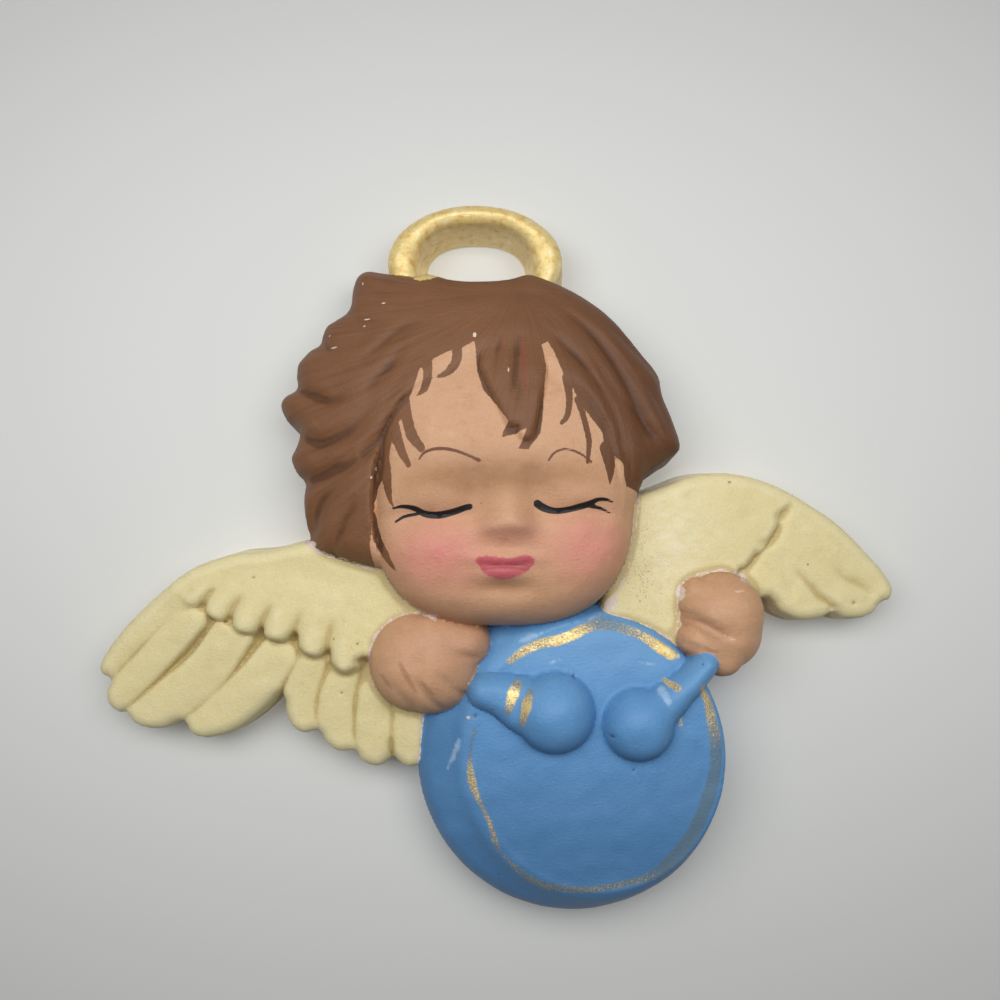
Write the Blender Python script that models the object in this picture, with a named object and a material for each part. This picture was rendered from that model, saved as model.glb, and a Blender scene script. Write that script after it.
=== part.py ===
"""Cherub wall plaque: one plaster casting with a flat back, hung from a nail by its halo.

The relief is a height above the back, worked out at every point of a grid from the forms below:
ellipses, and strokes, which are tapering strips with a domed crest. Lengths here are millimetres.
X runs to the plaque's right, Z up, and the front faces -Y with the back at Y = 0.
"""

import math
from typing import NamedTuple

import bmesh
import bpy
import numpy as np

MM = 0.001

# Sampling of the relief and size of the finished mesh
GRID_STEP = 0.62
GRID_LOW = (-80.0, -72.0)
GRID_HIGH = (80.0, 72.0)
MOST_TRIANGLES = 9300
BELOW_BACK = -15.0

# How a cast edge falls away: a rounded shoulder, then a wall with a little draft
WALL_SLOPE = 11.0
WALL_SPREAD = 0.4
SHOULDER_STEEPNESS = 0.96
BLEND = 0.7

# How one form steps down to another inside the outline
STEP_SLOPE = 2.0
STEP_EDGE = 0.9

# Halo, a flattened ring that stands on the hair and leaves a hole to hang by
HALO_CENTRE = (-4.8, 54.8)
HALO_HALF = (17.2, 11.6)
HOLE_CENTRE = (-4.8, 53.6)
HOLE_HALF = (10.7, 7.9)
HOLE_POWER = 2.5
HALO_HEIGHT = 10.2
HALO_EDGE = 2.6
HALO_INNER_DRAFT = 0.55

# Head: one dome carries the hair, and a fuller one the face
HEAD_CENTRE = (-1.0, 17.0)
HEAD_RADIUS = 40.0
HEAD_HEIGHT = 23.3
HEAD_FALL = 10.5
HAIR_LIFT = 0.5
HAIR_EDGE = 4.5
HAIR_OUTLINE = (
    (-13.1, 51.5), (-17, 51.4), (-21.8, 52.5), (-25.4, 53.4), (-27.8, 52.2), (-28.6, 49), (-28.8, 45.8),
    (-30.6, 43.5), (-33.2, 41.8), (-34.4, 38.7), (-36.6, 37), (-38.6, 34.7), (-38.8, 31.8), (-38.8, 30.2),
    (-41.2, 28.3), (-41.8, 26.2), (-40.2, 23.2), (-38.2, 21.6), (-38.1, 18.8), (-39.2, 16.4), (-38, 13.4),
    (-36.7, 11.6), (-36.5, 8), (-36, 3), (-34, -1), (-22, -4), (0, -6), (20, 0), (25.2, 9.6), (26.6, 12.8),
    (30.5, 15.6), (33.3, 17.8), (32.2, 23), (30.4, 27.4), (29.8, 31.6), (26, 36.4), (23, 40.1),
    (18.8, 44.4), (13.9, 47.6), (9.4, 49.8), (5.4, 51.1), (1.4, 49.9), (-4, 49.5), (-9.4, 50.1),
)
HAIRLINE_CENTRE = (-0.7, 8.0)
HAIRLINE_HALF = (21.6, 27.5)
HAIRLINE_EDGE = 0.8
FACE_CENTRE = (0.4, 12.0)
FACE_HALF = (23.7, 26.3)
FACE_POWER = 2.5
FACE_HEIGHT = 24.0
FACE_FALL = 5.0
FACE_EDGE = 5.5

# Drum: the shell spreads to the lower left below a head that is turned to the upper right
SHELL_CENTRE = (12.9, -38.1)
SHELL_HALF = (28.7, 28.5)
SHELL_HEIGHT = 9.5
SHELL_EDGE = 3.0
SKIN_CENTRE = (17.4, -36.6)
SKIN_HALF = (22.6, 23.6)
SKIN_HEIGHT = 14.6
SKIN_CROWN = 1.2
BALL_RADII = (7.0, 6.3)
BALL_CENTRES = ((9.7, -29.1), (24.3, -31.1))
BALL_LIFT = 15.0
BALL_BLEND = 2.2


class Stroke(NamedTuple):
    """A tapering strip: points along its middle, its half widths there, and its crest's height."""

    line: tuple
    half_widths: tuple
    heights: tuple
    crown: float = 1.0
    edge: float = 2.2


class Groove(NamedTuple):
    """A soft furrow: points along it, its half width and its depth at the first point."""

    line: tuple
    half_width: float
    depth: float


class Bump(NamedTuple):
    """A soft swelling, or a hollow where height is negative."""

    centre: tuple
    spread: tuple
    height: float


# Wings: outlines with a notch between one feather's tip and the next
WING_OUTLINES = (
    (
        (-12, -4), (-22, 1), (-30, 2.2), (-37.7, 1.1), (-43.4, -0.3), (-49, -0.7), (-52.8, -1.7),
        (-56.5, -3), (-60.2, -5.2), (-63.9, -8), (-69, -12.7), (-72.8, -17), (-75.4, -21.6), (-75, -24),
        (-73.6, -25), (-74.2, -27), (-73.6, -29.4), (-71.6, -31.2), (-70.1, -31.5), (-68.8, -33),
        (-66.4, -34), (-62.8, -34.2), (-59.6, -32.9), (-57.9, -35), (-55.2, -35.9), (-51.1, -35.3),
        (-47.4, -33.5), (-44.3, -31.1), (-41, -28.2), (-40.3, -31), (-39, -33.6), (-36.6, -34.9),
        (-33.9, -34.6), (-32.7, -36.5), (-30.2, -38.2), (-26.7, -38), (-25.6, -39.6), (-23.4, -40.7),
        (-19.9, -38.9), (-18.4, -40.4), (-15.6, -40.9), (-8, -38), (-4, -20),
    ),
    (
        (20, 2), (22, 8.2), (26, 10.1), (30.3, 11.7), (35.7, 13.7), (41.4, 14.3), (46.9, 13.6),
        (52.5, 11.7), (57.9, 8.8), (63.5, 5.2), (68.9, -0.1), (72.7, -4.4), (74.4, -7.6), (73.8, -10),
        (71.9, -10.9), (70.6, -12.6), (67.6, -13.8), (64.4, -13.7), (62.7, -12.7), (60.6, -13.6),
        (56.6, -14.1), (52.5, -12.6), (49, -10), (40, -20), (28, -20), (18, -12),
    ),
)
WING_EDGE = 2.4
WING_ARMS = (
    Stroke(
        ((-20, -8.4), (-30, -7.0), (-40, -5.2), (-50, -5.6), (-60, -9.0)),
        (9, 9, 6.8, 5.0, 3.0),
        (12.7, 12.2, 11.5, 10.8, 10.0),
        0.8,
    ),
    Stroke(((24, 1), (34, 4.0), (43, 5.4), (48, 6.6)), (9, 9.8, 8.4, 4.6), (12.6, 12.0, 11.3, 10.8), 0.8),
    Stroke(((21, -6.5), (40, -8.5)), (10.6, 9), (12.2, 11.2), 0.8),
    Stroke(((-18, -24), (-40, -20)), (8, 5), (9.0, 8.6), 0.3),
)
# Feathers run on past the outlines, which cut their tips
FEATHERS = (
    Stroke(
        ((-58.8, -8.4), (-65.2, -13.2), (-70.9, -19.1), (-76, -24.8)),
        (3.5, 3.1, 2.9, 2.7),
        (10, 9.4, 9, 8.7), 0.6,
    ),
    Stroke(
        ((-57.7, -13), (-63.1, -19.1), (-68.9, -25.3), (-76, -32)),
        (3.3, 3.3, 3.2, 3.0),
        (9.7, 9.3, 9, 8.7), 0.6,
    ),
    Stroke(
        ((-49.8, -15.9), (-54.5, -22.9), (-60.7, -28.2), (-70, -36)),
        (4.0, 4.3, 4.4, 4.4),
        (9.8, 9.4, 9, 8.7), 0.6,
    ),
    Stroke(
        ((-41.2, -20), (-45.4, -25.5), (-50.8, -30.4), (-59, -38)),
        (3.8, 4.3, 4.4, 4.3),
        (9.9, 9.5, 9.1, 8.7), 0.6,
    ),
    Stroke(
        ((-34.2, -20), (-36.5, -25.5), (-37.3, -30), (-36.8, -38)),
        (2.9, 3.3, 3.5, 3.6),
        (10, 9.6, 9.4, 9.1), 0.6,
    ),
    Stroke(
        ((-28.7, -23.1), (-30.3, -28.2), (-30.4, -32.8), (-29.8, -41)),
        (3.1, 3.5, 3.7, 3.6),
        (10, 9.7, 9.5, 9.2), 0.6,
    ),
    Stroke(((-22.9, -27.3), (-23.4, -33.7), (-23.2, -43)), (3.5, 3.6, 3.5), (10, 9.7, 9.3), 0.6),
    Stroke(((-16.8, -28), (-17, -36.4), (-16.8, -43)), (3.0, 3.1, 3.1), (10.1, 9.8, 9.4), 0.6),
    Stroke(((46, -2), (54.1, -9.3), (61.4, -15)), (4.2, 3.6, 3.3), (10.2, 9.5, 8.9), 0.6),
    Stroke(((54, 0.4), (63.1, -8), (70.7, -14.5)), (2.9, 3.1, 3.1), (10.1, 9.4, 8.8), 0.6),
    Stroke(((54, 5), (65.4, -3.5), (76, -11.6)), (3.2, 2.6, 2.5), (10.2, 9.4, 8.7), 0.6),
    Stroke(((52, 8), (64.4, 1.7), (75.5, -7.4)), (4.4, 3.7, 3.1), (10.4, 9.5, 8.8), 0.6),
)
# Coverts: a raised layer whose lower edge is scalloped, sinking towards the wing's tip
COVERT_OUTLINES = (
    (
        (-62, -8.4), (-59.8, -9.6), (-57.9, -10.9), (-56.1, -11.3), (-55.0, -10.9), (-54.5, -12.2),
        (-52.9, -13.4), (-51.2, -13.8), (-50.0, -13.3), (-49.4, -14.7), (-47.9, -15.8), (-45.7, -16),
        (-44.1, -15), (-43.5, -16.3), (-42, -17.1), (-39.8, -17.3), (-38.2, -16), (-37.2, -16.3),
        (-36.9, -18.1), (-35.6, -19.5), (-33.6, -20.1), (-31.9, -19.2), (-31.2, -19), (-30.8, -20.8),
        (-29.5, -22.4), (-28, -22.9), (-26.3, -21.8), (-25, -20), (-14, -18), (-14, 12), (-50, 12), (-66, 4),
    ),
    (
        (60, 12), (56.6, 9.6), (55, 7.9), (53.4, 6.2), (52.7, 5.4), (52.8, 4.2), (52.2, 2.9), (51.4, 1.7),
        (50, 0.8), (48.6, 0.8), (48.4, -0.6), (47.6, -2), (46.3, -3.4), (44, -5), (38, -12), (24, -14),
        (12, -4), (14, 20), (40, 26), (58, 22),
    ),
)
COVERT_HEIGHT = 14.5
COVERT_SLOPE = 0.073
COVERT_EDGE = 1.6
COVERT_GROOVES = (
    Groove(((-55.1, -11.2), (-53, -8.6), (-50.4, -6.6)), 0.8, 0.7),
    Groove(((-50.0, -13.7), (-49.1, -10.8), (-47.5, -7.9)), 0.8, 0.8),
    Groove(((-44.1, -15.4), (-43, -11.5), (-41.2, -8)), 0.9, 0.8),
    Groove(((-37.7, -16.5), (-36.7, -12.6), (-35.8, -8.4)), 0.9, 0.8),
    Groove(((-31.4, -19.3), (-30.6, -14.4), (-29.2, -8)), 0.9, 0.8),
)
HAND_MASSES = (
    Stroke(((-14.6, -20.6), (-12.8, -21.0)), (9.8, 9.6), (18.4, 18.8), 1.0, 8.0),
    Stroke(((-12, -17.6), (-6.2, -17.4)), (6.4, 4.8), (18.0, 17.2), 0.8, 5.0),
    Stroke(((40.4, -12.2), (40.9, -15.4)), (8.0, 7.2), (18.8, 18.2), 1.0, 7.0),
    Stroke(((34.8, -16.6), (40.0, -19.4)), (3.2, 4.2), (16.6, 16.8), 0.8, 3.4),
    Stroke(((35.8, -8.4), (35.2, -10.4)), (3.2, 3.0), (15.6, 15.8), 0.5, 3.0),
)
HAND_CREASES = (
    Groove(((-16.4, -29.6), (-17.6, -26.6), (-19.4, -22.2)), 0.8, 0.8),
    Groove(((-11.4, -29.8), (-13.0, -26.0), (-15.6, -20.6)), 0.8, 0.9),
    Groove(((-6.2, -27.6), (-6.8, -23.4), (-8.2, -17.0)), 0.9, 1.0),
    Groove(((33.0, -12.8), (36.6, -14.0), (42.6, -17.0)), 0.9, 1.1),
)
BEATER_STICKS = (
    Stroke(((-4.8, -26.0), (0, -27.2), (6, -28.6)), (2.4, 3.8, 5.4), (17.8, 18.4, 19.2), 1.2, 3.0),
    Stroke(((36.4, -20.8), (32, -25.2), (26, -30.0)), (2.7, 3.1, 4.6), (18.4, 18.6, 19.0), 1.0, 2.8),
)
# A lock's height is its lift above the head's dome
LOCKS = (
    Stroke(((-16, 45), (-22, 49), (-25.0, 50.4)), (3.6, 2.6, 1.8), (0.2, 0.6, 0.4), 0.6),
    Stroke(((0, 44), (0.4, 32), (2.4, 22.2)), (4.6, 4.2, 1.9), (0.4, 0.7, 0.5), 0.5),
    Stroke(((5.4, 45), (5.6, 31), (4.4, 19.4)), (3.8, 3.0, 1.5), (0.4, 0.8, 0.5), 0.5),
    Stroke(((14, 38), (23, 29), (31.4, 18.9)), (3.8, 3.6, 2.2), (0.3, 0.8, 1.0), 0.7),
    Stroke(((11, 34), (20, 24), (25.4, 12.6)), (3.4, 3.0, 2.0), (0.3, 0.7, 0.7), 0.6),
)
# Grooves between the locks: they start deep at the rim and run out towards the face
HAIR_GROOVES = (
    Groove(((-37.4, 12.0), (-28.2, 15.2), (-20.5, 21.4)), 1.6, 1.2),
    Groove(((-38.4, 20.8), (-30, 21.6), (-21.9, 27.2)), 1.6, 1.0),
    Groove(((-38.6, 30.6), (-31, 29.6), (-24.5, 32.4)), 1.6, 1.0),
    Groove(((-34.6, 38.2), (-29, 36.4), (-22.6, 38)), 1.5, 1.1),
    Groove(((-29.0, 45.6), (-25, 42.6), (-18, 43.2)), 1.5, 0.9),
    Groove(((-35.4, 3.6), (-30.6, 7.4), (-26.2, 13.6)), 1.5, 1.1),
    Groove(((-30.4, -0.4), (-26.6, 5.2), (-23.8, 12)), 1.3, 0.8),
    Groove(((30.4, 31.4), (23, 36), (14, 40.6)), 1.0, 0.8),
    Groove(((29.0, 15.8), (22, 25.6), (13.6, 35)), 1.1, 0.8),
    Groove(((25.6, 13.2), (19, 24.6), (11.4, 35.6)), 1.0, 0.6),
    Groove(((2.9, 23), (2.6, 34), (3.4, 44)), 0.9, 0.4),
)
FACE_BUMPS = (
    Bump((-11.4, -2.0), (6.4, 5.6), 1.5),
    Bump((14.2, -1.4), (6.4, 5.6), 1.5),
    Bump((-11.0, 9.6), (5.2, 2.5), 1.3),
    Bump((13.0, 10.2), (5.2, 2.5), 1.3),
    Bump((-11.2, 5.2), (6.6, 1.2), -0.9),
    Bump((12.8, 5.9), (6.6, 1.2), -0.9),
    Bump((-4.6, 8.6), (1.8, 3.2), -0.7),
    Bump((7.0, 9.0), (1.8, 3.2), -0.7),
    Bump((1.3, 3.9), (2.7, 2.2), 2.5),
    Bump((1.2, 8.8), (2.0, 3.8), 0.8),
    Bump((-1.8, 3.2), (1.4, 1.2), 0.6),
    Bump((4.4, 3.3), (1.4, 1.2), 0.6),
    Bump((0.5, -1.9), (3.8, 0.9), 1.2),
    Bump((0.5, -4.3), (2.9, 1.1), 1.4),
    Bump((0.4, -7.0), (3.2, 0.9), -0.6),
    Bump((-0.2, -10.2), (4.6, 2.6), 0.9),
)

# Paint of each region: colour, roughness and metallic value
PAINTS = {
    "gold_paint": ((0.55, 0.36, 0.10), 0.45, 0.6),
    "hair_paint": ((0.20, 0.10, 0.055), 0.85, 0.0),
    "skin_paint": ((0.60, 0.35, 0.19), 0.7, 0.0),
    "wing_paint": ((0.78, 0.68, 0.39), 0.75, 0.0),
    "drum_paint": ((0.11, 0.30, 0.60), 0.6, 0.0),
    "bare_plaster": ((0.80, 0.76, 0.72), 0.9, 0.0),
}


def smooth_max(first, second, width=BLEND):
    """The higher of two heights, with a soft fillet where they meet."""
    spare = np.maximum(width - np.abs(first - second), 0.0)
    return np.maximum(first, second) + spare * spare / (4.0 * width)


def shoulder(inside, edge):
    """How far a rounded edge has dropped at each distance inside its outline."""
    beyond = 1.0 - np.clip(inside / edge, 0.0, 1.0)
    return edge * (1.0 - np.sqrt(1.0 - SHOULDER_STEEPNESS * beyond * beyond))


def fall_away(crest, inside, edge):
    """Lowers a crest over a rounded edge and down a cast wall."""
    inside = inside - WALL_SPREAD
    return crest - shoulder(inside, edge) + WALL_SLOPE * np.minimum(inside, 0.0)


def step_down(crest, inside, edge=STEP_EDGE):
    """Lowers a crest over a small edge and down a gentle slope, to meet the form beside it."""
    return crest - shoulder(inside, edge) + STEP_SLOPE * np.minimum(inside, 0.0)


def inside_ellipse(x, z, centre, half, power=2.0):
    """How far inside an ellipse, or a squarer one, each point lies, and its share of the radius."""
    across = np.abs((x - centre[0]) / half[0]) + 1e-6
    along = np.abs((z - centre[1]) / half[1]) + 1e-6
    share = (across**power + along**power) ** (1.0 / power)
    slope = np.hypot(across ** (power - 1) / half[0], along ** (power - 1) / half[1])
    return (1.0 - share) * share ** (power - 1) / slope, share


def curve_through(points, steps=7):
    """Points along a smooth open curve through the given ones, with each point's place on it."""
    points = np.array(points, float)
    places = np.linspace(0.0, len(points) - 1.0, (len(points) - 1) * steps + 1)
    if len(points) == 2:
        return points[:1] + places[:, None] * (points[1:] - points[:1]), places
    first = 2 * points[0] - points[1]
    last = 2 * points[-1] - points[-2]
    held = np.vstack([first, points, last])
    index = np.minimum(places.astype(int), len(points) - 2)
    t = (places - index)[:, None]
    a, b, c, d = (held[index + shift] for shift in range(4))
    curve = b + 0.5 * t * (c - a + t * (2 * a - 5 * b + 4 * c - d + t * (3 * (b - c) + d - a)))
    return curve, places


def stroke_crest(x, z, stroke):
    """Height of a stroke's crest at each point, and how far inside the stroke the point lies."""
    curve, places = curve_through(stroke.line)
    knots = np.arange(len(stroke.line))
    widths = np.interp(places, knots, stroke.half_widths)
    heights = np.interp(places, knots, stroke.heights)
    inside = np.full(x.shape, -1e3)
    width = np.ones(x.shape)
    height = np.zeros(x.shape)
    for i in range(len(curve) - 1):
        step = curve[i + 1] - curve[i]
        share = ((x - curve[i][0]) * step[0] + (z - curve[i][1]) * step[1]) / (step @ step)
        share = np.clip(share, 0.0, 1.0)
        gap = np.hypot(x - curve[i][0] - share * step[0], z - curve[i][1] - share * step[1])
        here = widths[i] + share * (widths[i + 1] - widths[i])
        deeper = here - gap > inside
        inside = np.where(deeper, here - gap, inside)
        width = np.where(deeper, here, width)
        height = np.where(deeper, heights[i] + share * (heights[i + 1] - heights[i]), height)
    off_middle = np.clip(1.0 - inside / width, 0.0, 1.0)
    return height - stroke.crown * off_middle**2, inside


def laid_together(x, z, strokes, ground=0.0, width=0.4):
    """Surface of strokes laid side by side on the ground, with soft steps between."""
    surface = np.full(x.shape, BELOW_BACK)
    for stroke in strokes:
        crest, within = stroke_crest(x, z, stroke)
        surface = smooth_max(surface, step_down(ground + crest, within), width)
    return surface


def union_of(x, z, strokes, width=BLEND):
    """The soft union of several strokes that each have their own cast edge."""
    total = np.full(x.shape, BELOW_BACK)
    for stroke in strokes:
        crest, inside = stroke_crest(x, z, stroke)
        total = smooth_max(total, fall_away(crest, inside, stroke.edge), width)
    return total


def inside_outline(x, z, points):
    """How far inside a smooth closed outline through the given points each point lies."""
    held = tuple(points[-2:]) + tuple(points) + tuple(points[:2])
    curve, _ = curve_through(held, 4)
    curve = curve[8:-8]
    gap = np.full(x.shape, 1e3)
    within = np.zeros(x.shape, bool)
    for (ax, az), (bx, bz) in zip(curve, np.roll(curve, -1, axis=0)):
        run, rise = bx - ax, bz - az
        if run == 0 and rise == 0:
            continue
        share = np.clip(((x - ax) * run + (z - az) * rise) / (run * run + rise * rise), 0.0, 1.0)
        gap = np.minimum(gap, np.hypot(x - ax - share * run, z - az - share * rise))
        if rise != 0:
            within ^= ((az > z) != (bz > z)) & (x < ax + (z - az) * run / rise)
    return np.where(within, gap, -gap)


def groove_depth(x, z, grooves):
    """Depth of the deepest of several grooves at each point, each running out along its length."""
    deepest = np.zeros(x.shape)
    for groove in grooves:
        curve, places = curve_through(groove.line)
        left = 1.0 - (places / places[-1]) ** 2
        for i in range(len(curve) - 1):
            step = curve[i + 1] - curve[i]
            share = ((x - curve[i][0]) * step[0] + (z - curve[i][1]) * step[1]) / (step @ step)
            share = np.clip(share, 0.0, 1.0)
            gap = np.hypot(x - curve[i][0] - share * step[0], z - curve[i][1] - share * step[1])
            depth = groove.depth * (left[i] + share * (left[i + 1] - left[i]))
            deepest = np.maximum(deepest, depth * np.exp(-((gap / groove.half_width) ** 2)))
    return deepest


def halo(x, z):
    """The halo's band between its outer ellipse and its squarer hole, which narrows to the back."""
    within, _ = inside_ellipse(x, z, HALO_CENTRE, HALO_HALF)
    in_hole, _ = inside_ellipse(x, z, HOLE_CENTRE, HOLE_HALF, HOLE_POWER)
    aside = np.clip(np.abs(x - HOLE_CENTRE[0]) / HOLE_HALF[0], 0.0, 1.0)
    beside = np.where(in_hole > 0, -in_hole * (1.0 - HALO_INNER_DRAFT * aside), -in_hole)
    return fall_away(np.full(x.shape, HALO_HEIGHT), np.minimum(within, beside), HALO_EDGE)


def head_dome(x, z):
    """The dome that the hair and its locks are laid on."""
    away = np.hypot(x - HEAD_CENTRE[0], z - HEAD_CENTRE[1]) / HEAD_RADIUS
    return HEAD_HEIGHT - HEAD_FALL * away * away


def hair(x, z):
    """The hair: a mass round the face with a lobed rim, grooves between its locks, and a fringe."""
    ground = smooth_max(head_dome(x, z), face_dome(x, z), 1.5) + HAIR_LIFT
    into_face, _ = inside_ellipse(x, z, HAIRLINE_CENTRE, HAIRLINE_HALF)
    locks = laid_together(x, z, LOCKS, ground)
    mass = smooth_max(step_down(ground, -into_face, HAIRLINE_EDGE), locks, 0.4)
    mass = mass - groove_depth(x, z, HAIR_GROOVES)
    return fall_away(mass, inside_outline(x, z, HAIR_OUTLINE), HAIR_EDGE)


def face_dome(x, z):
    """The plain dome under the face's features."""
    inside, share = inside_ellipse(x, z, FACE_CENTRE, FACE_HALF, FACE_POWER)
    return fall_away(FACE_HEIGHT - FACE_FALL * share**2.4, inside, FACE_EDGE)


def face(x, z):
    """The face: a full dome with closed eyes, a button nose, lips, cheeks and chin."""
    height = face_dome(x, z)
    for bump in FACE_BUMPS:
        across = (x - bump.centre[0]) / bump.spread[0]
        along = (z - bump.centre[1]) / bump.spread[1]
        height = height + bump.height * np.exp(-0.5 * (across**2 + along**2))
    return height


def wings(x, z):
    """Both wings: feathers, the arm over their roots, and the scalloped coverts over both."""
    surface = smooth_max(laid_together(x, z, FEATHERS), laid_together(x, z, WING_ARMS, width=1.0), 0.5)
    for outline in COVERT_OUTLINES:
        crest = COVERT_HEIGHT - COVERT_SLOPE * np.abs(x)
        surface = smooth_max(surface, step_down(crest, inside_outline(x, z, outline), COVERT_EDGE), 0.4)
    surface = surface - groove_depth(x, z, COVERT_GROOVES)
    inside = np.max([inside_outline(x, z, outline) for outline in WING_OUTLINES], axis=0)
    return fall_away(surface, inside, WING_EDGE)


def hands(x, z):
    """The two fists with the creases between their fingers."""
    return union_of(x, z, HAND_MASSES, 1.4) - groove_depth(x, z, HAND_CREASES)


def drum(x, z):
    """The drum: a flared shell up to the rim of the head, then the head's shallow crown."""
    inside, _ = inside_ellipse(x, z, SHELL_CENTRE, SHELL_HALF)
    on_skin, share = inside_ellipse(x, z, SKIN_CENTRE, SKIN_HALF)
    climb = np.clip(inside / np.maximum(inside - on_skin, 0.5), 0.0, 1.0)
    climb = np.where(on_skin > 0, 1.0, climb)
    crest = SHELL_HEIGHT + (SKIN_HEIGHT - SHELL_HEIGHT) * climb
    crest = crest + SKIN_CROWN * np.clip(1.0 - share * share, 0.0, 1.0)
    return fall_away(crest, inside, SHELL_EDGE)


def beaters(x, z):
    """The two ball-ended beaters that lie on the drum's head."""
    total = union_of(x, z, BEATER_STICKS)
    for (ball_x, ball_z), radius in zip(BALL_CENTRES, BALL_RADII):
        away = np.hypot(x - ball_x, z - ball_z)
        ball = BALL_LIFT + np.sqrt(np.maximum(radius**2 - away**2, 0.0))
        total = smooth_max(total, ball - STEP_SLOPE * np.maximum(away - radius, 0.0), BALL_BLEND)
    return total


def dressed_drum(x, z):
    """The drum with its beaters, softly joined."""
    return smooth_max(drum(x, z), beaters(x, z), BALL_BLEND)


REGIONS = (
    ("gold_paint", (halo,)),
    ("hair_paint", (hair,)),
    ("skin_paint", (face, hands)),
    ("wing_paint", (wings,)),
    ("drum_paint", (dressed_drum,)),
)


def relief(x, z):
    """Height of the whole relief above the back at each point."""
    total = np.full(x.shape, BELOW_BACK)
    for _, forms in REGIONS:
        for form in forms:
            total = smooth_max(total, form(x, z))
    return total


def material(name):
    """A plain painted finish with this name."""
    colour, roughness, metallic = PAINTS[name]
    finish = bpy.data.materials.new(name)
    finish.use_nodes = True
    shader = finish.node_tree.nodes["Principled BSDF"]
    shader.inputs["Base Color"].default_value = (*colour, 1.0)
    shader.inputs["Roughness"].default_value = roughness
    shader.inputs["Metallic"].default_value = metallic
    finish.diffuse_color = (*colour, 1.0)
    return finish


def clear_scene():
    """Removes whatever the scene already holds."""
    for thing in list(bpy.data.objects):
        bpy.data.objects.remove(thing, do_unlink=True)


def raised_grid():
    """A grid raised into the relief and cut off at the plane of the back, still open behind."""
    counts = [round((high - low) / GRID_STEP) for low, high in zip(GRID_LOW, GRID_HIGH)]
    front = bmesh.new()
    bmesh.ops.create_grid(front, x_segments=counts[0], y_segments=counts[1], size=0.5)
    places = np.array([vertex.co for vertex in front.verts])
    x = GRID_LOW[0] + (places[:, 0] + 0.5) * (GRID_HIGH[0] - GRID_LOW[0])
    z = GRID_LOW[1] + (places[:, 1] + 0.5) * (GRID_HIGH[1] - GRID_LOW[1])
    height = np.maximum(relief(x, z), BELOW_BACK)
    for vertex, place in zip(front.verts, np.stack([x, -height, z], axis=1) * MM):
        vertex.co = place
    bmesh.ops.triangulate(front, faces=front.faces[:], quad_method="SHORT_EDGE")
    everything = front.verts[:] + front.edges[:] + front.faces[:]
    bmesh.ops.bisect_plane(
        front, geom=everything, plane_co=(0, 0, 0), plane_no=(0, 1, 0), clear_outer=True, dist=1e-6
    )
    return front


def thinned(front, share):
    """The same open surface with that share of its triangles, spent where it curves most."""
    mesh = bpy.data.meshes.new("thinning")
    front.to_mesh(mesh)
    front.free()
    helper = bpy.data.objects.new("thinning", mesh)
    bpy.context.scene.collection.objects.link(helper)
    decimate = helper.modifiers.new("thinning", "DECIMATE")
    decimate.ratio = share
    graph = bpy.context.evaluated_depsgraph_get()
    result = bmesh.new()
    result.from_mesh(helper.evaluated_get(graph).to_mesh())
    bpy.data.objects.remove(helper, do_unlink=True)
    bpy.data.meshes.remove(mesh)
    return result


def close_back(shape):
    """Lays the open edge flat on the plane of the back and fills it, leaving the halo's hole."""
    rim = [edge for edge in shape.edges if edge.is_boundary]
    for edge in rim:
        for vertex in edge.verts:
            vertex.co.y = 0.0
    bmesh.ops.triangle_fill(shape, edges=rim, use_beauty=True, use_dissolve=False, normal=(0, 1, 0))
    bmesh.ops.recalc_face_normals(shape, faces=shape.faces[:])


def dress(plaque):
    """Gives each face the paint of the form that stands highest there, and the back bare plaster."""
    names = [name for name, _ in REGIONS] + ["bare_plaster"]
    for name in names:
        plaque.materials.append(material(name))
    centres = np.array([face_of.center for face_of in plaque.polygons]) / MM
    tops = [np.max([form(centres[:, 0], centres[:, 2]) for form in forms], axis=0) for _, forms in REGIONS]
    highest = np.argmax(tops, axis=0)
    for face_of, slot in zip(plaque.polygons, highest):
        face_of.material_index = len(names) - 1 if face_of.normal.y > 0.99 else int(slot)


def make_plaque():
    """The finished casting."""
    front = raised_grid()
    shape = thinned(front, MOST_TRIANGLES / len(front.faces))
    close_back(shape)
    mesh = bpy.data.meshes.new("cherub_plaque")
    shape.to_mesh(mesh)
    shape.free()
    dress(mesh)
    mesh.shade_smooth()
    mesh.set_sharp_from_angle(angle=math.radians(50))
    plaque = bpy.data.objects.new("cherub_plaque", mesh)
    bpy.context.scene.collection.objects.link(plaque)
    return plaque


clear_scene()
make_plaque()
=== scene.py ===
"""Cherub wall plaque: the hand-painted plaster casting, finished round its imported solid.

The casting is one relief. Each class below is one of its forms and gives that form's height above the
flat back, in millimetres, at points seen from the front: X to the right, Z up, the front facing -Y.
The same classes say where each paint lies, and the finish at the end turns that into a surface.
"""

import logging
import math
from dataclasses import dataclass, field
from enum import Enum
from typing import ClassVar, TypeAlias

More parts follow.
